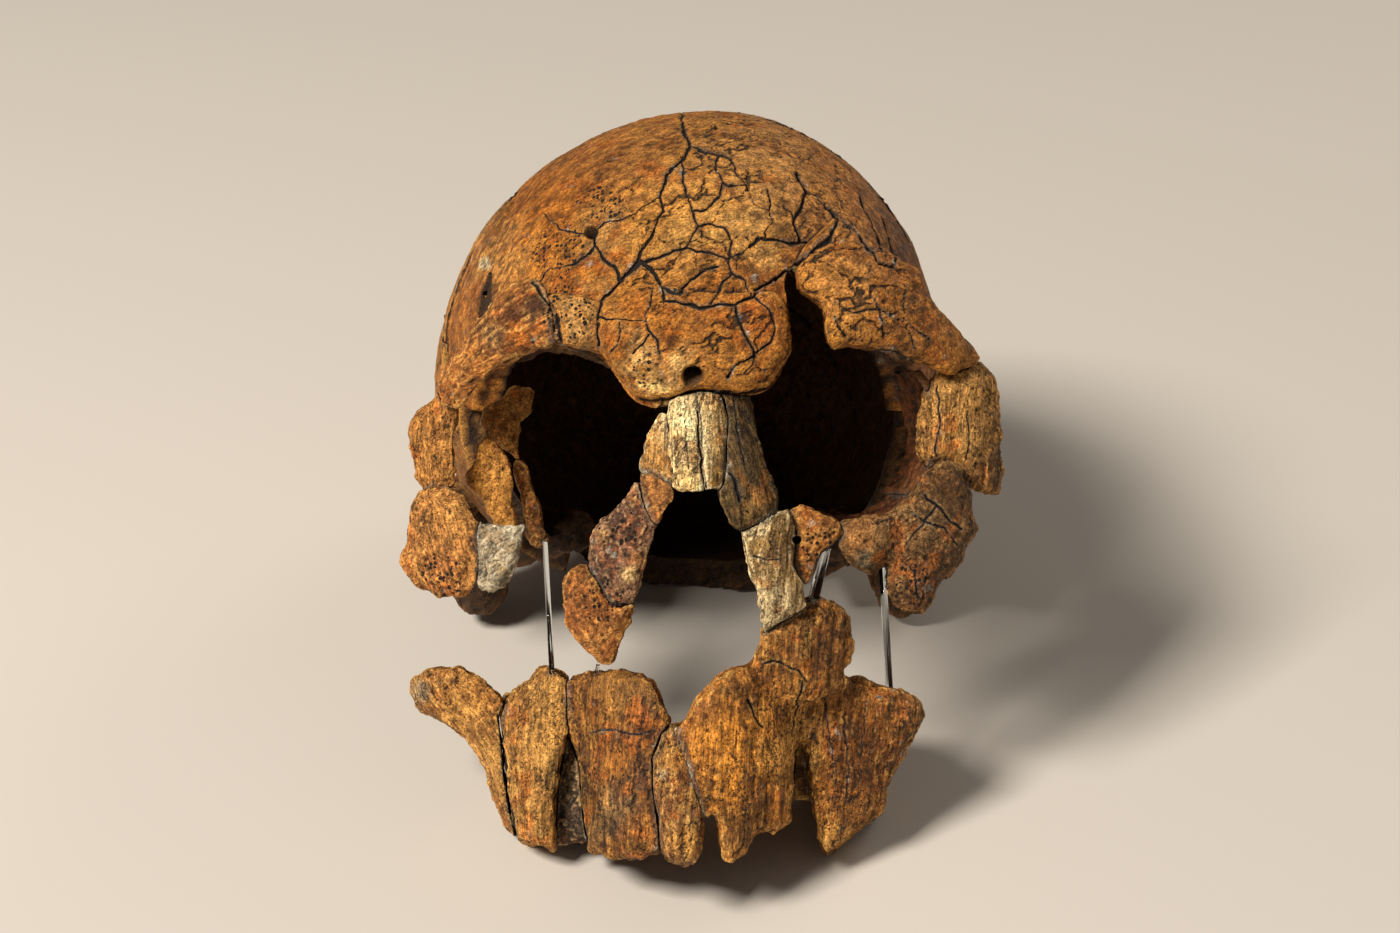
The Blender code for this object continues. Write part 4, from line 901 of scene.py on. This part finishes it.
def paint_bone(work: Sculpture, seam: np.ndarray, inside: np.ndarray) -> None:
    """Paints stains, fibres, filler and specks, painted highlight on raised places, and painted shade in
    hollows, on the lower vault and inside the braincase; a few spots are painted light or shade too.

    Args:
        work: The sculpted piece.
        seam: Millimetres to the next bone.
        inside: How much painted shade each point gets as the inside of the braincase, or, on a loose bone of
            the vault, as an edge that faces the viewer.
    """
    bone, lattice, points = work.bone, work.lattice, work.points
    faces = work.normals()
    smooth = points.copy()
    for _ in range(6):
        smooth += 0.6 * (work.around(smooth) - smooth)
    height = np.einsum("ij,ij->i", points - smooth, faces)
    wide = lattice.fractal(points, 13.0, 3)
    patch = lattice.fractal(points + 31.0, 5.0, 4)
    small = lattice.fractal(points + 52.0, 1.4, 3)
    fine = lattice.fractal(work.along_fibres() + 12.0, 0.8, 2)
    colour = np.tile(linear(bone.base), (len(points), 1))
    places = FACE.to_picture(points)
    facing = ramp(-faces[:, 1], -0.15, 0.25)
    for spot in SPOTS:
        away = np.hypot(places[:, 0] - spot.column, places[:, 1] - spot.row) / spot.radius
        if away.min() < 2.5:
            near = 1.0 - ramp(away + 0.34 * patch + 0.16 * small, 0.3, 1.5)
            colour = mix(colour, spot.colour, spot.strength * facing * near)
    own = colour.copy()
    light = ramp(wide + 0.45 * fine + 0.3 * small, 0.0, 0.75) * bone.light_share
    colour = mix(colour, bone.light, light)
    stain = ramp(patch, 0.75 - 1.6 * bone.stain_share, 1.05 - bone.stain_share)
    colour = mix(colour, bone.stain, 0.7 * stain)
    dark = ramp(0.35 * patch - wide - 0.6 * fine - 0.4 * small, 0.55 - bone.dark_share, 1.2)
    colour = mix(colour, bone.dark, 0.75 * dark)
    colour = colour + 0.25 * (own - colour)
    speck = small + 0.5 * fine
    colour *= (1.0 + 0.42 * ramp(speck, 0.1, 0.9) - 0.34 * ramp(-speck, 0.1, 0.9))[:, None]
    # Painted highlight and shade: raised places are painted lighter and hollows darker.
    colour = mix(colour, bone.light, 0.8 * ramp(height, 0.02, 0.14))
    colour = mix(colour, bone.dark, 0.9 * ramp(-height, 0.012, 0.1))
    joint = ramp(-seam + 0.35 * patch, -1.05, -0.4)
    dark = bone.filler * np.maximum(ramp(-work.cracks[:, 0] + 0.6 * patch, -2.0, -1.2), joint)
    colour = mix(colour, FILLER, dark * 0.85)
    # Painted shade: the deepest hollows are painted nearly black.
    colour = mix(colour, HOLLOW_SHADE, 0.9 * ramp(-height, 0.09, 0.24))
    if work.piece.slot == "vault":
        broad = lattice.fractal(points + 90.0, 30.0, 4)
        colour = mix(colour, BACK_LIGHT, 0.6 * (1.0 - facing) * ramp(broad, 0.15, 0.8))
        colour = mix(colour, BACK_DARK, 0.6 * (1.0 - facing) * ramp(-broad, 0.2, 0.9))
    # Painted shade: the braincase is painted darker towards its bottom.
    base = (work.piece.slot == "vault") * ramp(10.0 - points[:, 2], 0.0, 30.0)
    colour = mix(colour, LOWER_VAULT_SHADE, 0.75 * base)
    plaster = ramp(lattice.fractal(points + 77.0, 1.9, 3), 0.85, 1.05) * ramp(dark + 0.3 * patch, 0.1, 0.5)
    colour = mix(colour, PLASTER, plaster * 0.75)
    # Painted shade: the inside of the braincase, and the edges passed in with it, are painted dark.
    colour = mix(colour, INSIDE_SHADE, 0.75 * inside)
    _, _, tint = lattice.cells(points + 0.3 * patch[:, None], 0.7)
    work.paint = colour * (1.0 + 0.18 * tint + 0.12 * fine)[:, None]
    work.gloss = ramp(lattice.fractal(points + 5.0, 1.1, 2), 0.5, 0.9) * (1.0 - dark) * (1.0 - inside)


def worn(work: Sculpture) -> np.ndarray:
    """Gives the relief that all the bone shares: lumps, flaked patches, broken edges, fibres and pits.

    Args:
        work: The piece.

    Returns:
        Millimetres outward, one a point.
    """
    bone, lattice, points = work.bone, work.lattice, work.points
    relief = bone.lumps * (0.8 * lattice.fractal(points, 9.0, 2) + 0.7 * lattice.fractal(points, 3.6, 3))
    sideways = ramp(1.0 - np.abs(work.normals()[:, 1]), 0.25, 0.75)
    if bone.lumps:
        relief += sideways * (0.45 * lattice.fractal(points + 13.0, 3.0, 3) - 0.15)
    if bone.flakes:
        layer = lattice.fractal(points + 21.0, 7.0, 4)
        relief -= bone.flakes * (ramp(layer, 0.1, 0.16) + 0.8 * ramp(layer, 0.55, 0.61))
    if bone.grain is not Grain.NONE:
        space = work.along_fibres()
        relief += 0.8 * bone.lumps * lattice.fractal(space + 33.0, 5.0, 2)
        relief += bone.grain_depth * lattice.fractal(space, 0.9, 2)
        split = 1.0 - ramp(np.abs(lattice.noise(space + 7.0, 2.6)), 0.02, 0.16)
        relief -= 2.0 * bone.grain_depth * split * ramp(lattice.noise(points + 2.0, 6.0), 0.15, 0.4)
    middle, _, which = lattice.cells(points, 1.7)
    relief -= bone.pits * np.where(which > 0.6, np.exp(-((middle / 0.4) ** 2)), 0.0)
    relief -= 0.25 * bone.pits * ramp(lattice.fractal(points + 9.0, 1.2, 2), 0.3, 0.9)
    return relief


def shattered(work: Sculpture, size: float, strength: np.ndarray) -> np.ndarray:
    """Breaks the surface into plates that have shifted a little, and notes how near each point is to a crack.

    Args:
        work: The piece.
        size: How wide a plate is, in millimetres.
        strength: How far it has broken up, from 0 to 1, one a point.

    Returns:
        Millimetres outward.
    """
    lattice = work.lattice
    space = work.along_fibres()
    noises = [lattice.fractal(work.points + shift, size * 0.6, 3) for shift in (0.0, 20.0, 40.0)]
    warp = np.stack(noises, axis=1)
    _, border, which = lattice.cells(space + warp * size * 0.2, size)
    _, hair, _ = lattice.cells(space + warp * size * 0.26 + 9.0, size * 0.42)
    open_here = strength * ramp(lattice.noise(work.points + 80.0, 12.0), -0.5, 0.0)
    fine_here = strength * ramp(lattice.noise(work.points + 60.0, 9.0), -0.1, 0.35)
    work.cracks[:, 1] = np.minimum(border / (0.015 + 0.019 * size * open_here), work.cracks[:, 1])
    work.cracks[:, 2] = np.minimum(hair / (0.015 + 0.013 * size * fine_here), FAR)
    groove = np.exp(-((border / (0.06 + 0.018 * size)) ** 2)) * open_here
    hairline = np.exp(-((hair / (0.05 + 0.013 * size)) ** 2)) * fine_here
    return size * (0.011 * strength * which - 0.03 * groove - 0.015 * hairline)


def sculpt_fragment(piece: Piece, nodes: dict[str, bpy.types.Object], others: BVHTree) -> bpy.types.Object:
    """Makes one fragment of the face.

    Args:
        piece: What to build.
        nodes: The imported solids.
        others: The surfaces of the bones round it.

    Returns:
        The finished object.
    """
    work = Sculpture(piece, nodes)
    work.relax(3)
    if len(piece.nodes) > 1:
        work.blend(nodes, 3.6, 90)
    seam = work.seam_distance(others)
    faces = work.normals()
    relief = 0.08 + worn(work) * ramp(seam, 0.1, 0.9)
    if piece.bone.plates:
        relief += shattered(work, piece.bone.plates, np.full(len(relief), 0.8))
    relief -= work.crack_depth(faces[:, 1] < 0.1) + work.porosity()
    work.push(relief)
    work.relax(1, 0.4)
    paint_bone(work, seam, np.zeros(len(relief)))
    return work.finish()


def breakage(places: np.ndarray) -> np.ndarray:
    """Says how far the forehead has cracked up, most of all right of its middle.

    Args:
        places: Columns and rows.

    Returns:
        From 0 to 1, one a place.
    """
    away = np.hypot((places[:, 0] - 740.0) / 125.0, (places[:, 1] - 245.0) / 150.0)
    brow = np.hypot((places[:, 0] - 850.0) / 60.0, (places[:, 1] - 290.0) / 60.0)
    return 0.1 + 0.9 * np.maximum(ramp(-away, -1.15, -0.7), ramp(-brow, -1.2, -0.7))


def sculpt_vault(piece: Piece, nodes: dict[str, bpy.types.Object], others: BVHTree) -> bpy.types.Object:
    """Makes one bone of the braincase.

    Args:
        piece: What to build.
        nodes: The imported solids.
        others: The surfaces of the bones round it.

    Returns:
        The finished object.
    """
    work = Sculpture(piece, nodes)
    fused = len(piece.nodes) > 1
    work.relax(6)
    if fused:
        work.blend(nodes, 4.5, 16)
    else:
        process = 0.5 * ramp((vault_gauge(work.points, 0.0) - 1.0) * GAUGE, 1.0, 3.0)[:, None]
        for _ in range(30):
            work.points += process * (work.around(work.points) - work.points)
    round_out(work)
    if fused:
        refine_front(work)
    outer, inner = round_out(work)
    seam = work.seam_distance(others)
    faces = work.normals()
    strength = breakage(FACE.to_picture(work.points)) if fused else np.full(len(seam), 0.6)
    lumpy = (1.0 - outer) * (1.0 - inner)
    relief = worn(work) + shattered(work, piece.bone.plates, strength * (1.0 - inner))
    relief += 0.4 * work.lattice.fractal(work.points, 26.0, 2) * outer + markings(work.points) * outer
    relief += (0.12 + (0.16 if fused else 0.4) * lumpy) * work.lattice.fractal(work.points + 3.0, 3.2, 4)
    relief -= work.crack_depth(faces[:, 1] < 0.1, vault_gauge(work.points, 0.0) > ON_WALL)
    relief -= sutured(work, seam, outer)
    work.push(relief - work.porosity() * (1.0 - inner))
    # Edges of the loose vault bones that face the viewer get the same painted shade as the inside of the
    # braincase.
    rim = 0.0 if fused else ramp(-faces[:, 1], 0.2, 0.6) * (1.0 - outer)
    paint_bone(work, seam, np.maximum(inner, rim))
    return work.finish()


def refine_front(work: Sculpture) -> None:
    """Makes the forehead's mesh finer, most of all along its cracks and holes.

    Args:
        work: The forehead.
    """
    for reach in REFINED:
        front = (work.normals()[:, 1] < 0.15) & (vault_gauge(work.points, 0.0) > 0.965)
        places = work.wandering_places()
        near = np.full(len(places), FAR)
        for crack in CRACKS_OF_THE_FOREHEAD:
            near = np.minimum(near, line_distance(places, crack.line))
        for hole in HOLES:
            away = np.linalg.norm(places - (hole.column, hole.row), axis=1) * PIXEL
            near = np.minimum(near, away - hole.radius)
        work.refine(front & (near < reach))
        work.relax(2)
        round_out(work)


def markings(points: np.ndarray) -> np.ndarray:
    """Raises what muscles leave on a braincase: the line on each side and the ridge across the back.

    Args:
        points: Points in the face frame.

    Returns:
        Millimetres outward, one a point.
    """
    aside, high = points[:, 0] - VAULT_MIDDLE[0], points[:, 2] - VAULT_MIDDLE[2]
    lean = np.arctan2(np.abs(aside), high)
    line = 0.4 * np.exp(-(((lean - 0.98 + 0.0016 * (points[:, 1] - 70.0)) / 0.08) ** 2))
    line *= ramp(points[:, 1], 45.0, 80.0) * ramp(-points[:, 1], -150.0, -120.0)
    ridge = 1.1 * np.exp(-(((points[:, 2] + 4.0 - 0.008 * aside**2) / 3.4) ** 2))
    return line + ridge * ramp(points[:, 1], 120.0, 145.0)


def sutured(work: Sculpture, seam: np.ndarray, outer: np.ndarray) -> np.ndarray:
    """Folds a jagged line along the seams of the braincase, as a suture is folded.

    Args:
        work: The piece of the braincase.
        seam: Millimetres to the next bone.
        outer: How much each point belongs to the outer surface.

    Returns:
        Millimetres cut away at each point.
    """
    folded = 1.1 + 1.3 * work.lattice.fractal(work.points + 64.0, 2.6, 3)
    away = np.where(outer > 0.5, np.abs(seam - folded), FAR)
    work.cracks[:, 1] = np.minimum(work.cracks[:, 1], away / 0.2)
    return 0.25 * np.exp(-((away / 0.3) ** 2)) * (seam < 3.2)


def add_node(tree: bpy.types.NodeTree, kind: str, settings: dict, links: dict) -> bpy.types.Node:
    """Adds one shader node.

    Args:
        tree: The node tree.
        kind: The node's type, without its ShaderNode prefix.
        settings: Its properties by name, and its sockets' values by socket name or number.
        links: The output socket that feeds each input, by input name or number.

    Returns:
        The new node.
    """
    node = tree.nodes.new("ShaderNode" + kind)
    for name, value in settings.items():
        if isinstance(name, str) and hasattr(node, name):
            setattr(node, name, value)
        else:
            node.inputs[name].default_value = value
    for name, source in links.items():
        tree.links.new(source, node.inputs[name])
    return node


def graded(tree: bpy.types.NodeTree, value: bpy.types.NodeSocket, *steps: float) -> bpy.types.NodeSocket:
    """Turns one range of a value into another, and holds it there.

    Args:
        tree: The node tree.
        value: The socket that gives the value.
        steps: Where the range starts and ends, then what these become.

    Returns:
        The socket of the result.
    """
    names = ("From Min", "From Max", "To Min", "To Max")
    return add_node(tree, "MapRange", dict(zip(names, steps)), {"Value": value}).outputs[0]


def calculated(
    tree: bpy.types.NodeTree, operation: str, *values: bpy.types.NodeSocket | float
) -> bpy.types.NodeSocket:
    """Adds one sum to a shader.

    Args:
        tree: The node tree.
        operation: What to do with the values.
        values: Sockets or plain numbers.

    Returns:
        The socket of the result.
    """
    plain = {i: value for i, value in enumerate(values) if isinstance(value, (int, float))}
    linked = {i: value for i, value in enumerate(values) if i not in plain}
    return add_node(tree, "Math", {"operation": operation, **plain}, linked).outputs[0]


def plain_material(name: str, colour: str, values: dict[str, float]) -> bpy.types.Material:
    """Makes a material of one colour.

    Args:
        name: Its name.
        colour: Its colour, as sRGB hex.
        values: The other inputs of its shader.

    Returns:
        The material.
    """
    material = bpy.data.materials.new(name)
    material.use_nodes = True
    inputs = material.node_tree.nodes["Principled BSDF"].inputs
    inputs["Base Color"].default_value = (*linear(colour), 1.0)
    for key, value in values.items():
        inputs[key].default_value = value
    return material


def bone_material(slot: str) -> bpy.types.Material:
    """Makes the shader that shows painted bone, once for each slot of the record.

    Args:
        slot: The record's material slot.

    Returns:
        The material.
    """
    found = bpy.data.materials.get("bone_" + slot)
    if found:
        return found
    material = plain_material("bone_" + slot, Bone.base, {"Specular IOR Level": 0.28})
    tree = material.node_tree
    shader = tree.nodes["Principled BSDF"]
    place = add_node(tree, "TexCoord", {}, {}).outputs["Object"]
    paint, fibre, cracks, porous = (
        add_node(tree, "Attribute", {"attribute_name": name}, {}).outputs
        for name in ("paint", "fibre", "cracks", "porous")
    )
    along, on_bone = {"Vector": fibre["Vector"]}, {"Vector": place}
    coarse = add_node(tree, "TexNoise", {"Scale": 2.6, "Detail": 5.0, "Roughness": 0.72}, along)
    dust = add_node(tree, "TexNoise", {"Scale": METRE / 0.45, "Detail": 3.0, "Roughness": 0.7}, on_bone)
    pores = add_node(tree, "TexVoronoi", {"Scale": METRE / 0.75, "Randomness": 1.0}, on_bone)
    pore = graded(tree, pores.outputs["Distance"], 0.06, 0.3, 0.0, 1.0)
    shade = graded(tree, coarse.outputs["Fac"], 0.34, 0.67, 0.36, 1.72)
    grit = graded(tree, dust.outputs["Fac"], 0.32, 0.68, 0.48, 1.56)
    # Painted shade: pore centres are darkened.
    deep = graded(tree, pore, 0.0, 1.0, 0.6, 1.0)
    every = calculated(tree, "MULTIPLY", calculated(tree, "MULTIPLY", shade, grit), deep)
    tinted = add_node(tree, "VectorMath", {"operation": "SCALE"}, {0: paint["Color"], "Scale": every})
    split = add_node(tree, "SeparateXYZ", {}, {0: cracks["Vector"]})
    drawn = graded(tree, split.outputs["X"], 0.5, 1.0, 1.0, 0.0)
    plates = graded(tree, split.outputs["Y"], 0.4, 1.1, 0.85, 0.0)
    hairs = graded(tree, split.outputs["Z"], 0.3, 1.1, 0.6, 0.0)
    sponge = add_node(tree, "TexVoronoi", {"Scale": METRE / 0.9, "Randomness": 1.0}, on_bone)
    any_size = add_node(tree, "SeparateColor", {}, {0: sponge.outputs["Color"]}).outputs[0]
    reach = calculated(tree, "MULTIPLY_ADD", calculated(tree, "MULTIPLY", porous["Fac"], any_size), 0.62, -0.08)
    beyond = calculated(tree, "SUBTRACT", sponge.outputs["Distance"], reach)
    opened = graded(tree, beyond, -0.05, 0.04, 1.0, 0.0)
    # Dark lines: filler in the drawn cracks, plate borders and sutures, and painted shade inside the holes and
    # open pores.
    line = calculated(tree, "MAXIMUM", calculated(tree, "MAXIMUM", drawn, plates), hairs)
    line = calculated(tree, "MAXIMUM", line, opened)
    shown = add_node(tree, "Mix", {"data_type": "RGBA"}, {0: line, 6: tinted.outputs[0]})
    shown.inputs[7].default_value = (*linear(DARK_FILL_AND_HOLE_SHADE), 1.0)
    rough = graded(tree, paint["Alpha"], 0.0, 1.0, 0.66, 0.36)
    ground = calculated(tree, "MULTIPLY_ADD", pore, 0.45, coarse.outputs["Fac"])
    height = calculated(tree, "MULTIPLY_ADD", line, -1.6, ground)
    relief = add_node(tree, "Bump", {"Strength": 0.85, "Distance": 0.55 / METRE}, {"Height": height})
    tree.links.new(shown.outputs[2], shader.inputs["Base Color"])
    tree.links.new(rough, shader.inputs["Roughness"])
    tree.links.new(relief.outputs[0], shader.inputs["Normal"])
    return material


def polish_rods(nodes: dict[str, bpy.types.Object]) -> None:
    """Makes the rods and the wire of the mount.

    Args:
        nodes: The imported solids.
    """
    clear = plain_material("clear_rod", "#F4F8F8", {"Roughness": 0.04, "Transmission Weight": 1.0, "IOR": 1.25})
    for name in ("rod_right", "rod_left", "rod_left_inner", "wire_right"):
        bm = bmesh.new()
        bm.from_mesh(nodes[name].data)
        bmesh.ops.remove_doubles(bm, verts=bm.verts, dist=WELD)
        mesh = bpy.data.meshes.new(name + "_clear")
        bm.to_mesh(mesh)
        bm.free()
        mesh.materials.append(clear)
        mesh.shade_smooth()
        mesh.set_sharp_from_angle(angle=math.radians(35))
        rod = place_object(name + "_clear", mesh)
        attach(rod, "root")
        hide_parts(name)


def surfaces_of(nodes: dict[str, bpy.types.Object], names: list[str]) -> BVHTree:
    """Gathers the surfaces of some bones, to measure how near they are.

    Args:
        nodes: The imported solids.
        names: Which of them.

    Returns:
        One tree of all their faces, in millimetres in the face frame.
    """
    points, faces = [], []
    for name in names:
        mesh = nodes[name].data
        start = len(points)
        metres = np.array([vert.co for vert in mesh.vertices])
        points.extend(FACE.to_face(metres).tolist())
        faces.extend([start + i for i in polygon.vertices] for polygon in mesh.polygons)
    return BVHTree.FromPolygons(points, faces)


def studio() -> None:
    """Lays the floor, and sets the lights and the camera."""
    bm = bmesh.new()
    bmesh.ops.create_grid(bm, x_segments=1, y_segments=1, size=3.0)
    mesh = bpy.data.meshes.new("floor")
    bm.to_mesh(mesh)
    bm.free()
    mesh.materials.append(plain_material("paper", "#D2CEC7", {"Roughness": 0.9}))
    floor = place_object("floor", mesh)
    scene = bpy.context.scene
    world = bpy.data.worlds.new("room")
    scene.world = world
    world.use_nodes = True
    world.node_tree.nodes["Background"].inputs["Color"].default_value = (*linear("#F2EFEA"), 1.0)
    world.node_tree.nodes["Background"].inputs["Strength"].default_value = 0.14
    place = FACE.matrix()
    lights = (
        ("key", (-0.95, -1.25, 0.78), 0.5, 44.0, "#FFF4E6"),
        ("rim", (1.1, 0.5, 1.1), 0.8, 6.0, "#FFEEDC"),
    )
    for name, spot, size, power, tint in lights:
        lamp = bpy.data.lights.new(name, "AREA")
        lamp.size = size
        lamp.energy = power
        lamp.color = linear(tint)
        light = place_object(name, lamp)
        aim = Vector(spot) - Vector((0.0, 0.03, 0.01))
        local = Matrix.Translation(Vector(spot)) @ aim.to_track_quat("Z", "Y").to_matrix().to_4x4()
        light.matrix_world = place @ local
    eye = bpy.data.cameras.new("eye")
    eye.sensor_width = SENSOR
    eye.lens = SENSOR * VIEW_DISTANCE / (PICTURE_WIDTH * PIXEL)
    eye.clip_start = 0.02
    camera = place_object("eye", eye)
    level = Matrix.Rotation(math.radians(90.0), 4, "X")
    camera.matrix_world = place @ Matrix.Translation((0.0, -VIEW_DISTANCE / METRE, 0.0)) @ level
    scene.camera = camera
    scene.view_settings.view_transform = "Standard"
    scene.view_settings.look = "None"


def main() -> None:
    """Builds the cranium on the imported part, then the studio round it."""
    logging.basicConfig(level=logging.INFO, format="%(message)s")
    for obj in list(bpy.data.objects):
        bpy.data.objects.remove(obj)
    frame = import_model()
    nodes = frame["nodes"]
    for piece in [FOREHEAD, *PIECES]:
        others = surfaces_of(nodes, [name for name in nodes if name not in piece.nodes])
        make = sculpt_vault if piece.slot == "vault" else sculpt_fragment
        made = make(piece, nodes, others)
        log.info("%s: %d triangles", made.name, sum(len(face.vertices) - 2 for face in made.data.polygons))
    polish_rods(nodes)
    studio()


if __name__ == "__main__":
    main()
